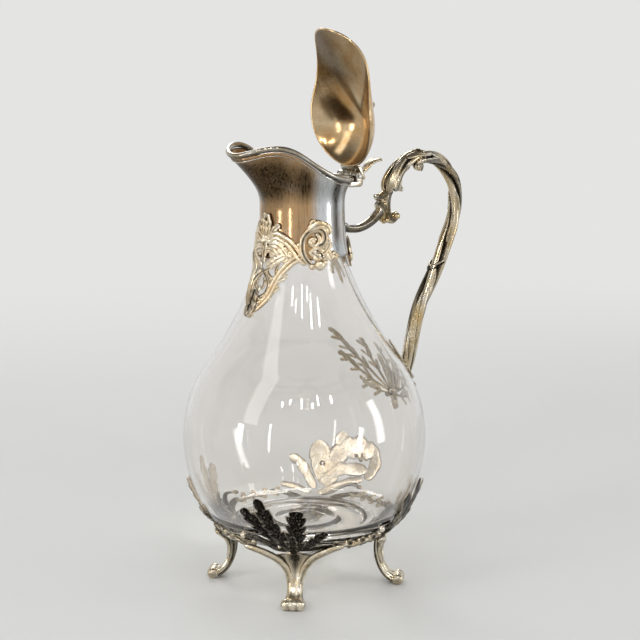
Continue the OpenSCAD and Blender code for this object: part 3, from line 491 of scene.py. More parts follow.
def openLid(points):
    # turns the closed lid about the hinge line
    turn = math.radians(lid["open"])
    x, z = points[..., 0] - lid["hingeX"], points[..., 2] - lid["hingeZ"]
    return np.stack([lid["hingeX"] + x * math.cos(turn) + z * math.sin(turn), points[..., 1],
                     lid["hingeZ"] - x * math.sin(turn) + z * math.cos(turn)], -1)


def lidEdge(a, inset, rise):
    # the mouth's line, drawn out at the spout by cos^3 and the hinge by cos^2, lifted at the sides by sin^2
    c = np.cos(a)
    r = (rimRadius(a) + lid["over"] + lid["tipOver"] * np.maximum(c, 0) ** 3
         + lid["backOver"] * np.maximum(-c, 0) ** 2 - inset)
    lift = mount["mouldingR"] + lid["gap"] + lid["sideRise"] * np.sin(a) ** 2
    return atAngle(a, r, rimHeight(a) + lift + rise)


def lidSkin(s, inset, rise):
    # from the top of the dome out to the edge: height falls as (1 - s^2)^fullness
    x, y, z = np.moveaxis(lidEdge(ring, inset, rise), -1, 0)
    height = z + (lid["domeZ"] - inset - z) * (1 - s ** 2) ** lid["fullness"]
    return np.stack([lid["domeX"] + s * (x - lid["domeX"]), s * y, height], -1)


def makeLid(v):
    # an outer skin and an inner one, a wall apart; painted shade in brown towards the spout, at the hinge and
    # on the far side
    s = np.sin(np.linspace(0, np.pi / 2, v["rows"]))[:, None]
    points = np.vstack([lidSkin(s, 0, v["wall"]), lidSkin(s, v["wall"], 0)[::-1]]).reshape(-1, 3)
    x, y = points[:, 0], points[:, 1]
    spout = 0.85 * np.clip((-2 - x) / 18, 0, 1) * (0.45 + 0.55 * np.clip((y + 12) / 18, 0, 1))
    dark = spout + 0.2 * bell(x, 31, 4) + 0.15 * np.clip((y - 12) / 12, 0, 1)
    return points, gridQuads(2 * v["rows"], len(ring)), np.clip(dark, 0, 0.8)


def makeFinial(v):
    # a turned bud, its radius waved by 1 + 0.1 cos(petals * angle)
    line = np.vstack([[[0, 0], [2.4, 0.05], [2.5, 0.7], [2.1, 1.3]],
                      bezier((1.3, 2.0), (3.9, 3.7), (3.5, 8.9), (0, 10.9), 16)])
    points, quads, recess = revolve(line, 40)
    wave = 1 + 0.1 * np.cos(v["petals"] * np.arctan2(points[:, 1], points[:, 0]))
    points = points * np.column_stack([wave, wave, np.ones(len(wave))])
    return points + [v["domeX"], 0, v["finialZ"]], quads, recess


rolled = wire(lidEdge(ring, 0.3, 0.6), 0.7, 10)  # the rolled edge
makePiece("lid", "lid_dome", [mapped(makeLid(lid), openLid), mapped(rolled, openLid)], lidSilver,
          "lid")
makePiece("lid_finial", "lid_finial_bud", [mapped(makeFinial(lid), openLid)], castSilver, body="lid")
print("lid made")


# ornament: castings laid on a curved surface, in charts of (distance across, height)
def lappetRadius(z):
    return np.where(z > mount["footZ"], mountRadius(z), np.maximum(28.2, glassRadius(z) + 0.3))


def onSurface(chart, across, z, lift):
    # a place across and up from the chart's middle line, lifted along the normal (1, -slope) of its outline
    across, z, lift = np.broadcast_arrays(*(np.asarray(v, float) for v in (across, z, lift)))
    radius = chart["radius"]
    normal = unit(np.stack([np.ones_like(z), (radius(z - 0.8) - radius(z + 0.8)) / 1.6], -1))
    a = chart["angle"] + across / radius(z)
    return (atAngle(a, radius(z) + lift * normal[..., 0], z + lift * normal[..., 1]),
            atAngle(a, normal[..., 0], normal[..., 1]))


def vine(chart, points, width, height, count=0, groove=0.0, lift=0.5, taper=(0.35, 0.2), dark=0.0):
    # a round stem along points on a surface; a groove of bell shape runs along its top, and its lower flanks
    # are darkened as painted shade
    count = count or 7 * len(points)
    line = smoothPath(points, count)
    place, up = onSurface(chart, line[:, 0], line[:, 1], lift + height * 0.35)
    b = around(12)
    cut = bell(b, np.pi / 2, 0.42)
    ends = np.maximum(roundEnds(count, taper[1], taper[0]), 0.02)
    # tone: the stem's own darkness, tarnish in the groove, and painted shade on the lower flanks
    tone = dark + 0.9 * (groove > 0) * cut + 0.8 * ((np.sin(b) < -0.15) & (np.sin(b) > -0.8))
    return sweep(place, width * ends, height * ends, up, 12, -groove * cut, tone)


def leaf(chart, spine, width, lobes, thick=1.0, dark=0.85, depth=0.4, lift=0.6, base=0.35, curl=0.0,
         count=64, sweepOn=0.4, saw=0.0):
    # half width: width * sin(pi t)^0.8, cut by lobes |sin(pi lobes t)|^0.6, or by saw teeth (lobes t % 1)^1.3
    # that end at once; the edge leans forward, and midrib and veins are grooves
    line = smoothPath(spine, count)
    t = np.linspace(0, 1, count)
    swell = np.sin(np.pi * np.clip(t * (1 - base) + base * 0.5, 0, 1)) ** 0.8
    full = width * np.maximum(swell * np.sqrt(np.clip((1 - t) / 0.16, 0, 1)), 0.03)
    tooth = (1 - saw) * np.abs(np.sin(np.pi * lobes * t)) ** 0.6 + saw * (lobes * t % 1) ** 1.3
    half = full * (1 - depth + depth * tooth)
    place, up = onSurface(chart, line[:, 0], line[:, 1], lift + thick * 0.4 + curl * t ** 2)
    b = around(20)
    across = np.cos(b)
    off = np.abs(across)
    veins = 0.5 * np.abs(np.sin(np.pi * lobes * (t[:, None] - 0.1 * off)))
    rib = bell(across, 0, 0.16)
    high = np.sin(b) > 0.05
    relief = np.where(high, -0.5 * rib - 0.8 * (0.5 - veins) * (off < 0.93), 0)
    inside = np.clip((0.975 - off) / 0.045, 0, 1)
    tone = np.where(high, dark * inside * (1.25 - veins) + 0.6 * rib * inside, 0.1 + 0.5 * (off > 0.9))
    deep = thick * 0.6 * np.sqrt(np.clip(full / width, 0.02, 1))
    points, quads, recess = sweep(place, half, deep, up, 20, relief, tone)
    lean = sweepOn * half[:, None] * off ** 1.6 * (1 - 0.6 * t)[:, None]
    lean = lean[..., None] * unit(np.gradient(place, axis=0))[:, None, :]
    return points + np.pad(lean, ((1, 1), (0, 0), (0, 0))).reshape(-1, 3), quads, recess


def leaves(chart, rows, **shared):
    # each row is a spine, a width, a count of lobes, a thickness and a darkness, and maybe a depth of lobes,
    # a lift and a base
    return [leaf(chart, *row, **shared) for row in rows]


def knobs(chart, rows):
    # balls set halfway into the surface: each row is a distance across, a height and a radius
    return [bead(onSurface(chart, across, z, radius * 0.5)[0], radius) for across, z, radius in rows]


def scroll(chart, centre, radii, turns, start, width, height, lift=0.6):
    # a spiral on the surface: its radius falls from the first to the second value as the angle turns
    count = int(30 * abs(turns)) + 8
    share = np.linspace(0, 1, count)
    r = radii[0] + (radii[1] - radii[0]) * share ** 0.8
    q = np.radians(start) + 2 * np.pi * turns * share
    line = np.column_stack([centre[0] + r * np.cos(q), centre[1] + r * np.sin(q)])
    return vine(chart, line, width, height, count, lift=lift, taper=(0.12, 0.06))


def strands(chart, points, spread, width, height):
    # two stems side by side, each half the spread away from the middle line
    line = smoothPath(points, 5 * len(points))
    along = unit(np.gradient(line, axis=0))
    side = np.column_stack([-along[:, 1], along[:, 0]]) * spread / 2
    return [vine(chart, line + way, width, height, len(line), taper=(0.2, 0.2)) for way in (side, -side)]


# openwork plate under the spout: half of it is drawn, and the other half mirrored
lappet = {"angle": 0.0, "radius": lappetRadius, "strapWidth": 1.3, "strapHeight": 1.35, "vineWidth": 1.15,
          "rosetteZ": 218.4, "rosetteR": 2.1}


def frontHalf(c):
    thick, high = c["strapWidth"], c["strapHeight"]
    main = [(-1, 215.5), (-7.6, 220.2), (-14.8, 217.3), (-19.4, 213), (-24, 207.7), (-28.5, 204.4)]
    lower = [(-25.5, 208.5), (-20, 205.5), (-16.2, 202), (-13, 198), (-11, 192.5), (-9.5, 185.5),
             (-6.4, 180.3), (-1.5, 175.2)]
    inner = [(6.5, 201.6), (2.5, 199.4), (-1.4, 196.9), (-5.6, 193), (-7.2, 189), (-6.1, 185.4),
             (-2.6, 183.2), (0.6, 184)]
    return strands(c, main, 2.8, thick * 1.1, high) + strands(c, lower, 2.4, thick, high) + leaves(c, [
        ([(-3, 217), (-5.2, 221.5), (-7.6, 224.6), (-10.4, 226.6)], 2.3, 3, 1.3, 0.15),
        ([(-1.6, 220), (-3, 225), (-2.6, 229), (-0.8, 233)], 1.8, 3, 1.5, 0.1),
        ([(-3, 214.5), (-8, 214.6), (-12, 212.4), (-16, 208.2)], 3.6, 3, 1.0, 0.0),
        ([(-16.5, 209.2), (-11.5, 206.6), (-6.8, 203.8), (-2.2, 200.6)], 3.3, 4, 1.0, 0.0),
        ([(-11, 208.5), (-6.6, 210.6), (-3.4, 211.4), (-0.4, 210.4)], 2.6, 2, 1.1, 0.05),
        ([(-11.4, 192.6), (-13.6, 194), (-15.4, 195.4), (-17.2, 197.3)], 2.0, 3, 1.0, 0.15),
        ([(-10.2, 186.5), (-12, 187.6), (-13.2, 188.8), (-14.3, 190.6)], 1.6, 2, 0.9, 0.15),
        ([(-7, 181), (-9, 181.6), (-10.4, 182.8), (-11.4, 184.4)], 1.3, 2, 0.9, 0.15),
        ([(-8.5, 190.4), (-7.4, 192.4), (-6, 194.4), (-4.2, 196)], 1.9, 3, 1.0, 0.2),
        ([(-4.6, 182.2), (-3.4, 179.6), (-1.8, 178), (0.6, 177.2)], 1.9, 3, 1.1, 0.2),
        ([(-2, 187.5), (-3.4, 190), (-3.2, 192.6), (-1.4, 194.6)], 1.5, 3, 1.0, 0.3)]) + [
        vine(c, inner, c["vineWidth"], 1.0, groove=0.15),
        vine(c, [(-2.2, 200.5), (-4.2, 197), (-8.2, 195), (-11.4, 195.8)], 0.8, 0.9),
        vine(c, [(-12.6, 205.8), (-10.5, 202), (-9.5, 198.5), (-11.6, 195)], 0.9, 0.9, groove=0.15),
        leaf(c, [(-3.5, 209.6), (-8.5, 209.8), (-13.5, 208.6), (-19.5, 206.6)], 4.4, 1, 0.8, 0.0, 0.0, 0.3),
        scroll(c, (-3.6, 181.6), (2.3, 0.7), 1.1, 150, 0.9, 1.1, 1.2)] + knobs(c, [
            (-2.8, 216.4, 1.8), (-1.0, 182.2, 1.4), (-5.1, 192.4, 1.0), (-2.6, 196.9, 0.9),
            (-15.9, 211.6, 1.2), (-3.4, 178.4, 1.2), (-6.4, 200.6, 0.8)])


def frontMiddle(c):
    # the rosette on the middle line, the buds over and under it, and the leaf and ball at the tip
    petals = [(c["rosetteR"] * math.cos(q), c["rosetteZ"] + c["rosetteR"] * math.sin(q), 1.25)
              for q in around(5) + np.radians(18)]
    tip = [(0, 187), (0, 181.5), (0, 176), (0, 171)]
    return knobs(c, petals + [(0, c["rosetteZ"], 1.6), (0, 173.2, 2.5), (0, 177.8, 1.3)]) + leaves(c, [
        ([(0, 219), (0, 223), (0, 226), (0, 229)], 1.9, 2, 1.9, 0.15),
        ([(0, 216), (0, 211.5), (0, 207), (0, 203)], 2.4, 3, 1.3, 0.2),
        ([(0, 190), (0, 186.5), (0, 183.5), (0, 180)], 1.7, 2, 1.2, 0.2)]) + [
        leaf(c, tip, 5.2, 4, 2.4, 0.5, 0.35, 1.7, saw=0.6)]


makePiece("front_lappet", "front_lappet_openwork", bothSides(frontHalf(lappet)) + frontMiddle(lappet),
          ornamentSilver)

# the plate under the handle: a stem with paired leaves that points down the glass
backLappet = {"angle": math.pi, "radius": lappetRadius}


def backHalf(c):
    return leaves(c, [
        ([(-3, 209), (-8, 212), (-13, 212), (-18, 208.5)], 3.2, 4, 1.2, 0.2),
        ([(-2.5, 205), (-8, 204.5), (-12, 201.5), (-15, 197)], 3.0, 4, 1.2, 0.2),
        ([(-1.5, 199), (-4.5, 196.5), (-6.5, 193.5), (-7.6, 189.8)], 2.4, 3, 1.1, 0.2)]) + [
        vine(c, [(-1, 213), (-6, 215.5), (-12, 214.5), (-18, 211), (-22, 206)], 1.2, 1.2, groove=0.2),
        scroll(c, (-19.2, 204.6), (3.2, 0.9), -1.1, 40, 1.0, 1.1)] + knobs(c, [(-19.2, 204.6, 1.2)])


middleLeaf = leaf(backLappet, [(0, 214), (0, 206), (0, 196), (0, 184.5)], 3.0, 5, 1.6, 0.2)
backMiddle = [middleLeaf] + knobs(backLappet, [(0, 214.5, 1.8)])
makePiece("back_lappet", "back_lappet_leaves", bothSides(backHalf(backLappet)) + backMiddle, ornamentSilver)


def sideScroll(c):
    # the C-scroll beside the plate: a flared leaf over a spiral, a bulb below and small leaves behind it
    outer = [(-31.5, 202.8), (-26.8, 207.6), (-24.3, 213), (-24.6, 218.8), (-27.6, 223), (-32, 224.6),
             (-35.8, 222.6), (-37, 218.6), (-35.6, 215.4), (-32.6, 214.6)]
    return [vine(c, outer, np.linspace(1.7, 2.3, 70), 1.6, 70, 0.3, 0.8, (0.1, 0.08)),
            vine(c, [(-28.5, 209.6), (-31, 212.2), (-34.4, 212.6), (-36.4, 210.4)], 1.2, 1.3),
            scroll(c, (-30.4, 217.2), (4.4, 0.9), 1.2, 100, 1.3, 1.4)] + leaves(c, [
        ([(-27, 223), (-32.6, 226.6), (-37.6, 225.2), (-39.8, 220)], 3.0, 2, 1.7, 0.0, 0.4, 1.4),
        ([(-36.8, 220.2), (-39.4, 216.6), (-39.4, 212.6), (-36.4, 209)], 2.7, 3, 1.4, 0.1, 0.4, 1.0),
        ([(-27.5, 222), (-28.2, 225), (-29.2, 227.6), (-30.6, 230)], 1.8, 2, 1.4, 0.1, 0.4, 1.0),
        ([(-28.5, 211), (-31.5, 209.6), (-34.5, 207.2), (-37, 203.8)], 2.9, 3, 1.5, 0.1),
        ([(-33.5, 212.4), (-37.6, 211.4), (-41.2, 208.6), (-43.6, 205.2)], 3.0, 3, 1.4, 0.1),
        ([(-37.5, 206.8), (-41.5, 208.6), (-45.6, 208), (-49, 206.2)], 2.4, 3, 1.2, 0.1)]) + knobs(c, [
            (-30.4, 217, 1.5), (-22.4, 215.2, 1.8), (-35.6, 203.4, 3.5), (-31.2, 202.4, 2.0),
            (-39.2, 204.4, 2.0)])


leftParts = sideScroll(lappet)
makePiece("left_scroll", "left_scroll_leaves", leftParts, ornamentSilver)
makePiece("right_scroll", "right_scroll_leaves", [mirrorY(p) for p in leftParts], ornamentSilver)
print("mount ornament made")

# feet
feet = {"legTop": (46, 32), "toe": (58, 3.6), "toeSize": 3.8, "hoofWidth": 15, "waist": 9.4, "topWidth": 18,
        "strapR": 46.5, "strapTurn": 55, "garlandZ": 38.2, "glassFrom": 34.2,
        "twig": [(4, 35), (10.2, 37.4), (16.3, 42), (23.5, 45.4), (30, 44.6)],
        "angles": {"front_left": -45, "front_right": 45, "back_right": 135, "back_left": -135}}


def glassLow(z):
    return glassRadius(np.maximum(z, feet["glassFrom"]))


def makeLeg(angle, f):
    # a strap along a Bezier curve, wide at the glass and the hoof, with flutes 0.14 cos(6 b) down its face
    # and corners fuller than an ellipse; under it a roll whose radius is lobed by |cos(1.5 pi s)|
    count = 40
    (topR, topZ), (toeR, toeZ) = f["legTop"], f["toe"]
    line = bezier((topR, topZ), (topR - 3, 17), (topR + 3, 2.6), (toeR, toeZ), count)
    place = atAngle(angle, line[:, 0], line[:, 1])
    across = atAngle(angle + np.pi / 2, 1.0, 0.0)
    t = np.linspace(0, 1, count)
    wide = np.interp(t, [0, 0.1, 0.2, 0.3, 0.4, 0.5, 0.68, 0.85, 1], [
        0.72 * f["topWidth"], 11, 8.4, 6.4, 5.2, 0.5 * f["waist"], 4.9, 6.2, 0.5 * f["hoofWidth"] - 0.4])
    deep = np.interp(t, [0, 0.3, 0.8, 1], [1.4, 2.1, 2.2, 2.6])
    c, s = np.cos(around(32)), np.sin(around(32))
    flutes = 0.14 * np.cos(6 * np.arccos(np.clip(c, -1, 1))) * (np.abs(c) < 0.95)
    # darkness: dark in the flutes, more towards the top, and darker across the top of the leg; painted shade
    # along one edge and on the inner face, which faces the axis
    tone = np.clip(0.25 - flutes / 0.14, 0, 1) * np.clip(1.35 - 2.2 * t, 0.2, 1)[:, None]
    tone = tone + 0.55 * np.clip(1 - 4.5 * t, 0, 1)[:, None] * (np.abs(c) < 0.8) + 0.45 * (c < -0.85)
    squared = 1 / np.maximum(np.abs(c) ** 3 + np.abs(s) ** 3, 0.35) ** (1 / 3) - 1
    up = np.cross(unit(np.gradient(place, axis=0)), across)
    strap = sweep(place, wide * np.maximum(roundEnds(count, 0.03, 0.05), 0.05), deep, up, 32,
                  flutes + squared, np.clip(tone + 0.7 * (s > 0.3), 0, 1))
    s = np.linspace(-1, 1, 25)
    lobes = np.abs(np.cos(1.5 * np.pi * s))
    size = f["toeSize"] * (0.9 + 0.1 * lobes) * np.maximum(1 - np.abs(s) ** 5, 0.02) ** 0.4
    roll = atAngle(angle, toeR, toeZ) + s[:, None] * across * f["hoofWidth"] / 2
    return [strap, sweep(roll, size, size * 0.94, [0, 0, 1], 20, 0, 0.5 * (1 - lobes)[:, None])]


def makeFan(angle, f):
    # the toothed leaves over one foot, drawn across and up from the foot's middle line
    c = {"angle": angle, "radius": glassLow}
    stem = [(0.5, 34.6), (4, 38), (7.6, 42.6), (11, 48)]
    return leaves(c, [
        ([(1, 37.5), (6, 47), (12, 58), (18.8, 73)], 6.4, 5, 1.5, 1.3, 0.5, 1.6, 0.5),
        ([(5, 40), (12, 47.5), (20, 56), (28.8, 65)], 6.6, 5, 1.5, 1.3, 0.5, 0.8, 0.55),
        ([(-1, 36.5), (-2.4, 47), (-3.6, 57), (-4.4, 66.5)], 7.8, 5, 1.5, 1.3, 0.5, 1.8, 0.6),
        ([(-3.5, 36.5), (-9, 41.5), (-14.5, 46.5), (-20.4, 51.5)], 4.8, 5, 1.5, 1.3, 0.5, 1.2, 0.5),
        ([(-5, 35.8), (-11, 38), (-17, 39.6), (-23.4, 40.4)], 3.2, 4, 1.3, 1.3, 0.5, 0.9, 0.5),
        ([(0, 35), (-0.2, 39.5), (-0.6, 44), (-1.2, 50)], 3.2, 4, 1.5, 1.3, 0.5, 2.6, 0.5)],
        curl=0.8, sweepOn=0.8, saw=0.75) + [
        vine(c, f["twig"], np.linspace(1.9, 1.2, 35), 1.5, lift=1.0, dark=0.9),
        vine(c, stem, 1.3, 1.3, lift=1.2, groove=0.2, dark=0.3)] + knobs(c, [
            (31.6, 44.2, 2.0), (8.6, 38, 1.3), (-6.5, 37.8, 1.3)])


def makeBackFan(angle, f):
    # the fan seen through the glass: an oval leaf, and a broad one that curls round an opening with berries
    c = {"angle": angle, "radius": glassLow}
    return leaves(c, [
        ([(4, 44), (3.4, 54), (1.6, 62), (0, 72)], 8.6, 2, 1.4, 1.0, 0.22, 1.6, 0.1),
        ([(-1, 40), (-6, 50), (-12, 58), (-19, 62)], 3.8, 3, 1.4, 1.0, 0.22, 1.0, 0.4),
        ([(6, 42), (11, 54), (15, 65), (17, 78)], 7.4, 4, 1.4, 1.0, 0.4, 1.4, 0.3),
        ([(9, 59), (19, 66), (29, 68.5), (41, 66)], 8.4, 4, 1.4, 1.0, 0.3, 0.8, 0.4),
        ([(36, 71), (41.5, 65), (41, 57), (34, 50.5)], 5.4, 3, 1.4, 1.0, 0.22, 1.2, 0.4),
        ([(3, 44), (13, 53), (24, 55), (36, 55)], 5.0, 2, 1.4, 1.0, 0.22, 1.2, 0.4),
        ([(2, 36), (12, 42), (23, 47), (33, 50)], 4.0, 4, 1.4, 1.0, 0.22, 1.0, 0.4),
        ([(-3, 36), (-10, 40), (-17, 43), (-24, 45)], 3.4, 4, 1.4, 1.0, 0.22, 1.0, 0.4)]) + [
        vine(c, f["twig"], 1.6, 1.5, lift=1.0, dark=0.5)] + knobs(c, [
            (27, 63.5, 1.4), (31, 61, 1.4), (31.6, 64.6, 1.3), (3.4, 57, 2.0), (31.6, 44.2, 2.0)])


def makeStraps(angle, f):
    # two grooved bands from the top of the leg along the lower edge of the glass, through points of
    # (distance across, height, reach beyond strapR); each is sweep's ellipse
    left = [(3.6, 12.5, 1.6), (4.6, 18.5, 0.6), (7.2, 23.6, 1.0), (12, 28.6, 3.2), (18, 32.4, 6.2),
            (25, 35.2, 9), (31, 36.8, 11)]
    right = [(-3.6, 12.5, 1.6), (-4.8, 18.5, 0.6), (-7.4, 24, 1.0), (-12, 29.4, 3.2), (-17.5, 33.4, 6.4),
             (-24, 36.8, 9.4), (-30, 38.2, 11.2)]
    b = around(14)
    groove = bell(b, np.pi / 2, 0.4)
    ends = np.maximum(roundEnds(40, 0.15, 0.1), 0.03)
    wide = np.interp(np.linspace(0, 1, 40), [0, 0.3, 0.6, 1], [1.5, 2.4, 3.0, 2.2]) * ends
    made = []
    for line in (left, right):
        across, z, reach = smoothPath(line, 40).T
        a = angle + across / f["strapTurn"]
        # painted shade on the half of each band that faces the glass, and tarnish in the groove
        made.append(sweep(atAngle(a, f["strapR"] + reach, z), wide, 1.9 * ends, atAngle(a, 0.75, -0.65), 14,
                          -0.16 * groove, 0.8 * groove + 0.9 * (np.sin(b) < 0.1)))
    return made


def makeGarland(middle, f):
    # a wavy stem, height + 0.8 sin(across), along the lower edge of the glass, with leaves to both sides
    c, z = {"angle": middle, "radius": glassLow}, f["garlandZ"]
    across = np.linspace(-18, 18, 9)
    wave = np.column_stack([across, z + 0.8 * np.sin(across)])
    parts = [vine(c, wave, 1.6, 1.7, 90, 0.15, 0.7, (0.05, 0.05), 0.25)]
    for i, s in enumerate(np.linspace(-15.5, 15.5, 8)):
        rise = 4.2 if i % 2 else -2.6
        spine = [(s, z), (s + 1.5, z + rise * 0.4), (s + 3, z + rise * 0.8), (s + 4.2, z + rise)]
        parts.append(leaf(c, spine, 1.9, 2, 1.4, 0.95, lift=1.2, count=24))
        parts += knobs(c, [(s - 1.2, z + 0.2 - rise * 0.35, 1.3)])
    return parts


for name, degrees in feet["angles"].items():
    angle = math.radians(degrees)
    leg, fan = "leg_" + name, "leaf_fan_" + name
    makeOne = makeBackFan if name == "back_right" else makeFan
    cast = makeLeg(angle, feet) + makeStraps(angle, feet)
    makePiece(leg, leg + "_cast", cast, legSilver)
    makePiece(fan, fan + "_cast", makeOne(angle, feet), darkSilver)
for name, degrees in (("front", 0), ("right", 90), ("back", 180), ("left", -90)):
    garland, growth = "garland_" + name, makeGarland(math.radians(degrees), feet)
    makePiece(garland, garland + "_leaves", growth, legSilver)
print("feet made")

# handle, drawn in its own plane as (u, z) pairs
handle = {"armRoot": (28.9, 220), "armTop": (67.5, 239.5), "armR": 2.55, "strandR": 2.15, "strandOff": 2.4,
          "turns": 1.7, "samples": 360, "wrapOff": 4.2,
          "arm": [(0.005, 0), (0.09, 0), (0.171, -0.103), (0.391, -0.123), (0.611, 0.021), (0.793, 0.272),
                  (0.86, 0.42)],
          "loop": [(68.5, 240.4), (72, 247.5), (78, 253.5), (86, 257.6), (95.5, 258.9), (106, 256.6),
                   (116, 250.4), (122.3, 241), (124.3, 229), (122, 214.5), (114, 199.5), (104.5, 181.5),
                   (94.5, 164), (88, 145), (84.3, 129), (78.77, 110)]}
plate = {"z": 220, "halfWide": 4.5, "halfHigh": 7, "innerR": 27.1, "thick": 1.5, "square": 0.55}
acrossY = np.array([0, 1.0, 0])


def upright(points):
    # (u, z) pairs in the plane of the handle to (u, 0, z)
    p = np.asarray(points, float)
    return np.column_stack([p[:, 0], np.zeros(len(p)), p[:, 1]])


def makePlate(p):
    # a cushion bent round the mount: halfWide s |cos q|^square across, halfHigh s |sin q|^square up, and
    # thick (1 - s^8)^(1/2) proud
    s = np.concatenate([np.linspace(0, 0.98, 6), np.linspace(1, 0.5, 10), np.linspace(0.4, 0, 5)])[:, None]
    q = around(48)
    high = p["thick"] * np.sqrt(1 - s ** 8) * (np.arange(len(s)) > 5)[:, None]
    y = p["halfWide"] * s * np.sign(np.cos(q)) * np.abs(np.cos(q)) ** p["square"]
    z = p["z"] + p["halfHigh"] * s * np.sign(np.sin(q)) * np.abs(np.sin(q)) ** p["square"]
    points = np.stack([np.sqrt((p["innerR"] + high) ** 2 - y ** 2), y, z], -1)
    dark = 0.75 * bell(s, 0.8, 0.06) * (high > 0)
    return points.reshape(-1, 3), gridQuads(len(s), 48), np.broadcast_to(dark, y.shape).reshape(-1)


def makeArm(h):
    # a crescent: a grooved rod of radius armR + 1.3 t^1.4, thicker towards the knot, with painted shade under
    # its belly
    root, top = np.array(h["armRoot"]), np.array(h["armTop"])
    path = upright(smoothPath(root + np.array(h["arm"]) * (top - root), 60))
    t = np.linspace(0, 1, 60)
    size = h["armR"] + 1.3 * t ** 1.4 + bell(t, 0, 0.05)
    flat = np.abs(np.cos(around(24)))
    tone = np.clip(0.9 * (flat > 0.96) + 0.8 * (np.sin(around(24)) < -0.4), 0, 1)
    up = np.cross(np.gradient(path, axis=0), acrossY)
    return sweep(path, size, size * 0.86, up, 24, -0.13 * bell(flat, 1, 0.05), tone)


def flatScroll(points, widths, thick, count=60, groove=0.2):
    # a broad band in the plane of the handle, wider across it (Y) than in it, with a groove along each edge
    path = upright(smoothPath(points, count))
    c, s = np.abs(np.cos(around(20))), np.abs(np.sin(around(20)))
    ends = np.maximum(roundEnds(count, 0.06), 0.03)
    wide = np.interp(np.linspace(0, 1, count), np.linspace(0, 1, len(widths)), widths) * ends
    up = np.cross(np.gradient(path, axis=0), acrossY)
    dark = 0.85 * (s < 0.35) * (c > 0.5)
    return sweep(path, wide, thick * ends, up, 20, -groove * bell(c, 0.55, 0.14), dark)


def freeLeaf(points, width, lobes, thick, up, dark=0.7, depth=0.3):
    # a leaf on a path in space, flat across its up direction: its width goes as sin(pi (0.22 + 0.78 t))^0.75
    t, c = np.linspace(0, 1, 40), np.cos(around(16))
    full = width * np.maximum(np.sin(np.pi * (0.22 + 0.78 * t)) ** 0.75, 0.03)
    half = full * (1 - depth + depth * np.abs(np.sin(np.pi * lobes * t)) ** 0.6)
    tone = dark * np.clip(1.1 - np.abs(c) ** 3, 0, 1) * (np.abs(np.sin(around(16))) > 0.05)
    deep = thick * np.sqrt(full / width)
    return sweep(smoothPath(points, 40), half, deep, up, 16, -0.4 * bell(c, 0, 0.2), tone)


def makeKnot():
    # the knot between arm and loop: a C-scroll that opens to the right, with a leaf tip over the arm
    curl = [(69.6, 239.6), (66.6, 236.6), (65.2, 232), (65.4, 227), (67, 222.6), (70.2, 220.6), (73.2, 222)]
    body = [(59, 231.8), (61.6, 229.6), (63.4, 226), (64.2, 221.6)]
    collar = [(57.6, 236), (60.5, 235.2), (64, 237.2), (68.6, 239.2)]
    tip = [(64, 0, 231), (61, 0, 234), (58.2, 0, 236), (55.8, 0, 237)]
    beads = bothSides([bead((72.8, -2.1, 222.8), 2.3), bead((64.2, -2.6, 221), 1.7)])
    return beads + [flatScroll(curl, [2.6, 3.8, 4.4, 4.3, 3.8, 3.2, 2.8], 2.7, groove=0.3),
                    flatScroll(body, [2.6, 3.8, 4.2, 3.0], 3.4, 40, 0.15),
                    flatScroll(collar, [1.8, 3.2, 3.8, 3.6], 2.1, 40),
                    freeLeaf(tip, 2.6, 2, 1.3, [0.5, 0, 0.85]),
                    bead((73.0, 0, 222.8), 2.9), bead((64.2, 0, 220.4), 2.0)]


def loopFrame(h):
    # the loop's line, its direction, and outward, which is left of the direction of travel
    path = smoothPath(h["loop"], h["samples"])
    along = unit(np.gradient(path, axis=0))
    return upright(path), upright(along), np.column_stack([-along[:, 1], 0 * along[:, 0], along[:, 0]])


loopLine, loopAlong, loopOut = loopFrame(handle)


def roundLoop(index, q):
    # the direction at angle q round the loop: cos q * outward + sin q * Y
    return np.cos(q)[:, None] * loopOut[index] + np.sin(q)[:, None] * acrossY


def makeLoop(h):
    # three stems wound round the loop's line, strandOff away from it, with their angle growing along it; a
    # black core between them and the darker inner half of each stem are painted shade
    count = h["samples"]
    t, b = np.linspace(0, 1, count), around(16)
    swell = np.interp(t, [0, 0.06, 0.14, 0.24, 0.36, 0.55, 0.8, 0.93, 1],
                      [1.1, 1.1, 1.0, 1.02, 1.06, 1.04, 1.16, 1.05, 0.75])
    cut = bell(b, np.pi / 2, 0.45)
    parts = [sweep(loopLine, 2.2 * swell, 2.2 * swell, loopOut, 12, 0, 1.0)]
    for k, (size, groove, dark) in enumerate(((1.12, 0.0, 0), (0.95, 0.3, 0.45), (0.9, 0.0, 0))):
        direction = roundLoop(slice(None), 2 * np.pi * (h["turns"] * t - 0.3 + k / 3))
        r = h["strandR"] * size * swell * np.maximum(roundEnds(count, 0.02, 0.015), 0.05)
        # painted shade on the half of each stem that faces the core, and tarnish in the groove
        tone = np.clip(0.9 * cut * (groove > 0) + np.clip((0.45 - np.sin(b)) / 0.5, 0, 1) + dark, 0, 1)
        centre = loopLine + direction * (h["strandOff"] * swell)[:, None]
        parts.append(sweep(centre, r, r, direction, 16, -groove * cut, tone))
    return parts


def loopLeaf(start, end, fromAngle, toAngle, width, lobes, off, dark):
    # a leaf laid on the loop from one share of its line to another, drifting round it between two angles
    index = (np.linspace(start, end, 9) * (handle["samples"] - 1)).astype(int)
    direction = roundLoop(index, np.radians(np.linspace(fromAngle, toAngle, 9)))
    return freeLeaf(loopLine[index] + direction * off, width, lobes, 1.0, smoothPath(direction, 40), dark)


def loopWrap(share, slant, size, dark):
    # a tendril round the stems: wrapOff away from the loop's line, and slant cos q back along it
    i, q = int(share * (handle["samples"] - 1)), around(40)
    direction = roundLoop(i, q)
    line = loopLine[i] + handle["wrapOff"] * direction - slant * np.cos(q)[:, None] * loopAlong[i]
    return sweep(line, size, size, direction, 10, 0, dark, closed=True)


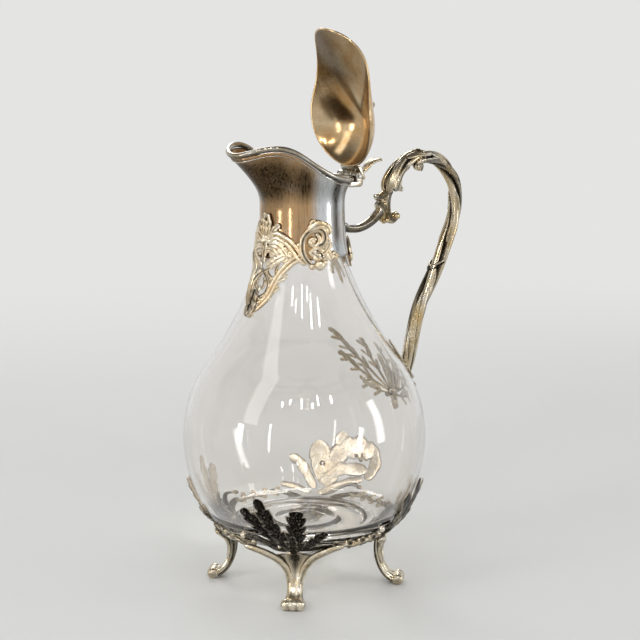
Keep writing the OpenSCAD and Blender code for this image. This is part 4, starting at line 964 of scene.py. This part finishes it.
# petals that wrap the root of the loop, each with its tip curled out at the bottom
petals = [
    ([(66.4, 2.08, 238.6), (66.8, 3.51, 243), (70, 3.38, 249), (75.4, 2.6, 255.2), (81.5, 1.56, 259.3)],
     2.6, 1, 1.7, (-0.6, 0.75, 0.3), 0.3, 0.0),
    ([(71.4, 2.08, 238.8), (72.2, 3.9, 243), (74.8, 3.51, 248), (79.6, 2.86, 252.6), (86, 2.34, 255.4)],
     2.0, 1, 1.5, (0.4, 0.9, -0.2), 0.5, 0.0),
    ([(77.6, 1.3, 238.8), (75.4, 2.34, 241.6), (75.6, 2.34, 246), (79, 1.82, 250), (84.4, 1.3, 252.6)],
     1.5, 1, 1.3, (0.7, 0.5, -0.3), 0.2, 0.0)]
# shares of the loop, angles round it, width, lobes, distance from its line and darkness
loopLeaves = [
    (0.17, 0.29, -40, -85, 2.1, 2, 4.3, 0.5), (0.26, 0.38, -140, -75, 2.0, 3, 4.3, 0.7),
    (0.3, 0.42, -60, -120, 1.8, 3, 4.2, 0.5), (0.4, 0.47, -110, -80, 1.5, 2, 4.2, 0.6),
    (0.59, 0.5, -95, -130, 1.9, 2, 4.1, 0.4), (0.66, 0.57, -110, -150, 1.8, 2, 4.0, 0.5),
    (0.7, 0.61, -60, -110, 1.9, 3, 4.1, 0.6), (0.985, 0.77, -125, -155, 2.8, 1, 3.5, 0.1),
    (0.79, 0.72, -80, -120, 2.0, 2, 4.0, 0.4), (0.8, 0.92, -50, -95, 1.7, 3, 3.6, 0.5)]
# each wrap is a share, a slant, a size and a darkness; the black second ring lies under the first as a
# painted shadow
loopWraps = [(0.7, 5.5, 0.8, 0.4), (0.709, 5.5, 0.75, 1.0), (0.235, 1.6, 0.9, 0.4), (0.26, 2.2, 0.7, 0.7)]
loopBeads = [((77.4, -1.2, 239.2), 1.5), ((91.2, -4.4, 256.4), 1.8), ((93.6, -4.6, 256.8), 1.3),
             ((88.9, -4.4, 255.6), 1.3)]
growth = ([freeLeaf(*row) for row in petals] + [loopLeaf(*row) for row in loopLeaves]
          + [loopWrap(*row) for row in loopWraps] + [bead(*row) for row in loopBeads])
budLeaf = freeLeaf([(91.4, -1, 256), (91.6, -3.2, 254), (92.6, -3.2, 251.6), (93.8, -1.4, 249.4)],
                   1.7, 2, 0.9, -acrossY)
makePiece("handle_bracket", "handle_bracket_plate", [makePlate(plate)], castSilver)
makePiece("handle_arm", "handle_arm_rod", [makeArm(handle)], rimSilver)
makePiece("handle_volute", "handle_knot_scroll", makeKnot(), handleSilver)
makePiece("handle_loop", "handle_loop_stems", makeLoop(handle) + bothSides(growth), handleSilver)
budParts = [bead((93.4, 0, 252.4), 2.8, 1.1)] + bothSides([budLeaf])
makePiece("handle_bud", "handle_bud_cast", budParts, castSilver)

# fronds that spread on the belly from the foot of the handle: heading, length and pairs of leaves of each
spray = {"angle": math.pi, "radius": glassRadius, "rootZ": 110,
         "fronds": ((88, 25, 2), (64, 42, 3), (44, 51, 4), (20, 38, 3))}


def makeSpray(c):
    # a frond's stem runs through across = length sin(heading), up = length cos(heading), and bends on its way
    parts = []
    for heading, length, pairs in c["fronds"]:
        bend = np.radians(heading + np.array([8, 5, 0, -7, -7]))
        reach = length * np.array([0.06, 0.36, 0.66, 0.86, 1])
        line = np.column_stack([reach * np.sin(bend), c["rootZ"] + reach * np.cos(bend)])
        parts.append(vine(c, line[:4], 0.8, 1.1))
        parts.append(leaf(c, smoothPath(line[2:], 4), 2.5, 3, 1.3, 0.3, lift=0.7, count=36))
        stem = smoothPath(line[:4], 50)
        for share in np.linspace(0.4, 0.9, pairs):
            root = stem[int(share * 49)]
            for q in np.radians([heading + 34, heading - 34]):
                tip = root + (10 - 3 * share) * np.array([np.sin(q), np.cos(q)])
                parts.append(leaf(c, np.linspace(root, tip, 4), 1.45, 2, 1.2, 0.3, lift=0.7, count=28))
    return bothSides(parts) + leaves(c, [
        ([(0, 118), (0, 112), (0, 105), (0, 98)], 4.0, 3, 3.4, 0.5, 0.4, 1.6),
        ([(0, 112), (0, 119), (0, 128), (0, 137)], 3.2, 3, 3.6, 0.5, 0.4, 1.2)]) + knobs(c, [
            (0, 111, 3.4), (4.5, 108, 1.9), (-4.5, 108, 1.9)])


makePiece("handle_spray", "handle_spray_fronds", makeSpray(spray), castSilver)
print("handle made")

# hinge and thumbpiece, drawn shut; outlines are (u, z) pairs
hinge = {"knuckle": 2.6, "width": 20, "middle": 7.6, "slot": 8.2, "wing": 18, "tongue": 7.2,
         "low": [(29.3, 247.9), (33, 248.0), (37, 248.0), (39.2, 247.7), (39.4, 246.2), (38.2, 244.7),
                 (35, 244.5), (31, 244.7), (27.6, 245.2), (28, 246.4)],
         "lug": [(34.6, 247.4), (34.4, 249.4), (35, 250.8), (36.8, 251.6), (38.6, 250.8), (39.3, 249),
                 (39.2, 247)],
         "bar": [(32.4, 253.1), (35, 253.0), (38, 253.2), (40.4, 253.2), (41, 254.2), (40.2, 255.1),
                 (37, 255.2), (33, 255.2), (32.2, 254.2)],
         "web": [(35.2, 251), (35, 253.6), (36.8, 254), (38.6, 253.6), (38.4, 251)]}
thumb = {"root": (36.4, 255.2), "reach": [(0, 0), (9, 6.02), (-3.5, 12.04), (4.2, 21.5)], "width": 5.0,
         "thick": 1.3}


def slab(outline, yFrom, yTo, soft, hug=0):
    # an outline carried across from yFrom to yTo and rounded at both ends over soft; hug bends its inner end
    # round the mount by (hug^2 - y^2)^(1/2) - hug
    line = smoothPath(outline + outline[:1], 8 * len(outline) + 1)[:-1]
    turn = np.linspace(0, np.pi / 2, 5)
    edge = soft * (1 - np.cos(turn))
    y = np.concatenate([[yFrom], yFrom + edge, yTo - edge[::-1], [yTo]])[:, None]
    inward = soft * np.concatenate([[1], 1 - np.sin(turn), 1 - np.sin(turn[::-1]), [1]])[:, None]
    away = line - line.mean(0)
    scale = np.maximum(1 - inward / np.linalg.norm(away, axis=1), 0.05)
    scale[[0, -1]] = 0
    u, z = np.moveaxis(line.mean(0) + scale[:, :, None] * away, -1, 0)
    u = u + (hug > 0) * (np.sqrt(np.maximum(hug ** 2 - y ** 2, 0)) - hug) * np.clip((35 - u) / 6, 0, 1)
    points = np.stack(np.broadcast_arrays(u, y, z), -1).reshape(-1, 3)
    return points, gridQuads(len(y), len(line)), np.zeros(len(points))


def knuckle(h, yFrom, yTo):
    # a ring of the hinge, its radius cut by 5% at a turned line near each end
    t, q = np.linspace(0, 1, 24)[:, None], around(28)
    r = h["knuckle"] * (1 - 0.05 * (bell(t, 0.18, 0.04) + bell(t, 0.82, 0.04)))
    r = r * roundEnds(24, 0.08)[:, None]
    points = np.stack(np.broadcast_arrays(lid["hingeX"] + r * np.cos(q), yFrom + (yTo - yFrom) * t,
                                          lid["hingeZ"] + r * np.sin(q)), -1)
    dark = 0.8 * (bell(t, 0.18, 0.05) + bell(t, 0.82, 0.05)) + 0.7 * ((t < 0.03) | (t > 0.97))
    return points.reshape(-1, 3), gridQuads(24, 28), np.repeat(dark, 28)


def makeThumb(t):
    # a tab along a Bezier curve, its free end scalloped by |sin(3 pi s)|, with a hollow down its face
    root = np.array(t["root"])
    path = upright(bezier(*(root + p for p in t["reach"]), 44))
    s, c = np.linspace(0, 1, 44), np.cos(around(18))
    wide = t["width"] * np.interp(s, [0, 0.25, 0.6, 0.85, 1], [0.8, 0.5, 0.75, 1.0, 0.8])
    ends = np.maximum(roundEnds(44, 0.08, 0.03), 0.05)
    wide = wide * (0.9 + 0.1 * np.abs(np.sin(3 * np.pi * s))) * ends
    up = np.cross(np.gradient(path, axis=0), acrossY)
    return sweep(path, wide, t["thick"] * ends, up, 18, -0.3 * bell(c, 0, 0.3), 0.7 * bell(c, 0, 0.35))


half, gap, wing, middle, tongue = (hinge[k] / 2 for k in ("width", "slot", "wing", "middle", "tongue"))
fixed = bothSides([knuckle(hinge, gap, half), slab(hinge["lug"], gap + 0.2, half - 0.2, 0.5)])
fixed.append(slab(hinge["low"], -half, half, 0.7, 29))
turning = [slab(hinge["bar"], -wing, wing, 0.5, 32), knuckle(hinge, -middle, middle),
           slab(hinge["web"], -tongue, tongue, 0.4)]
turned = [mapped(part, openLid) for part in turning]
makePiece("hinge_bracket", "hinge_bracket_cast", fixed, rimSilver)
makePiece("lid_hinge_leaf", "lid_hinge_leaf_cast", turned, rimSilver, body="lid")
makePiece("thumbpiece", "thumbpiece_leaf", [mapped(makeThumb(thumb), openLid)], castSilver, body="lid")
print("hinge made")

# studio
studio = {"floor": "#d8d8d6", "sky": "#e4e4e3", "ceiling": "#6e6d6b", "fillStrength": 0.55, "clearing": 0.6,
          "floorRadius": 3.0, "fadeFrom": 0.5, "fadeTo": 1.2, "lampsAt": (-0.027, 0, 0.17),
          "spots": [(-62, 36, 0.16), (-54, 39, 0.1), (-40, 38, 0.26), (-28, 36, 0.14), (-21, 40, 0.24),
                    (-5, 39, 0.18)],
          "lamps": {"key": (-92, 36, 2.0, (0.55, 1.6), 5), "glint": (-100, 4, 1.5, (0.14, 0.4), 2.2),
                    "thread": (-70, 4, 1.5, (0.04, 0.7), 1.4), "strip": (38, 6, 1.5, (0.2, 1.1), 4.5),
                    "back": (150, 35, 1.7, (0.8, 0.4), 8)}}


def makeFloor(s):
    # a round floor of pale paper that fades into the background colour away from the jug
    material, tree = newMaterial("pale paper floor")
    place = addNode(tree, "TexCoord", output="Object")
    reach = addNode(tree, "VectorMath", {"operation": "LENGTH"}, {0: place}, "Value")
    fade = addNode(tree, "MapRange", {"From Min": s["fadeFrom"], "From Max": s["fadeTo"],
                                      "interpolation_type": "SMOOTHSTEP"}, {"Value": reach})
    paper = addNode(tree, "BsdfDiffuse", {"Color": hexColour(s["floor"])})
    glow = addNode(tree, "Emission", {"Color": hexColour(s["sky"]), "Strength": 1.0})
    addNode(tree, "OutputMaterial", links={
        "Surface": addNode(tree, "MixShader", links={0: fade, 1: paper, 2: glow})})
    mesh = bpy.data.meshes.new("floor")
    mesh.from_pydata(atAngle(around(64), s["floorRadius"], -0.0002)[::-1].tolist(), [], [list(range(64))])
    mesh.materials.append(material)
    newObject("floor", mesh)


def makeWorld(s):
    # a pale backdrop up to eye level and a darker ceiling are seen and mirrored, less dark through the glass,
    # and a plain white fill gives the light
    world = bpy.data.worlds.new("studio")
    bpy.context.scene.world = world
    world.use_nodes = True
    tree = world.node_tree
    tree.nodes.clear()
    seen, passed, mirrored = (addNode(tree, "LightPath", output="Is " + ray + " Ray")
                              for ray in ("Camera", "Transmission", "Glossy"))
    direct = addNode(tree, "Math", {"operation": "MAXIMUM"}, {0: seen, 1: passed})
    shown = addNode(tree, "Math", {"operation": "MAXIMUM"}, {0: direct, 1: mirrored})
    direction = addNode(tree, "TexCoord", output="Generated")
    height = addNode(tree, "SeparateXYZ", links={0: direction}, output=2)
    rise = addNode(tree, "MapRange", {"From Min": 0.2, "From Max": 0.75, "interpolation_type": "SMOOTHSTEP"},
                   {"Value": height})
    through = addNode(tree, "Math", {"operation": "MULTIPLY_ADD", 1: -s["clearing"], 2: 1.0}, {0: passed})
    share = addNode(tree, "Math", {"operation": "MULTIPLY"}, {0: rise, 1: through})
    backdrop = addNode(tree, "Mix", {"data_type": "RGBA", 6: hexColour(s["sky"]), 7: hexColour(s["ceiling"])},
                       {0: share}, 2)
    fill = addNode(tree, "Background", {"Color": hexColour("#ffffff"), "Strength": s["fillStrength"]})
    sky = addNode(tree, "Background", {"Strength": 1.0}, {"Color": backdrop})
    addNode(tree, "OutputWorld", links={
        "Surface": addNode(tree, "MixShader", links={0: shown, 1: fill, 2: sky})})


def addLamp(name, azimuth, elevation, distance, size, watts):
    # a soft rectangular lamp that faces the jug from the given angles, measured as the camera's are
    q, e = math.radians(azimuth), math.radians(elevation)
    away = np.array([math.sin(q) * math.cos(e), -math.cos(q) * math.cos(e), math.sin(e)])
    data = bpy.data.lights.new(name, "AREA")
    data.shape = "RECTANGLE"
    data.size, data.size_y = size
    data.energy = watts
    side = unit(np.cross(-away, [0, 0, 1.0]))
    stand(newObject(name, data), side, np.cross(side, -away), away, studio["lampsAt"] + away * distance)


makeFloor(studio)
makeWorld(studio)
for number, (azimuth, elevation, length) in enumerate(studio["spots"]):
    addLamp("spot" + str(number), azimuth, elevation, 1.7, (0.04, length), 7 * length)
for name, values in studio["lamps"].items():
    addLamp(name, *values)
bpy.context.scene.view_settings.view_transform = "Standard"
print("studio made")
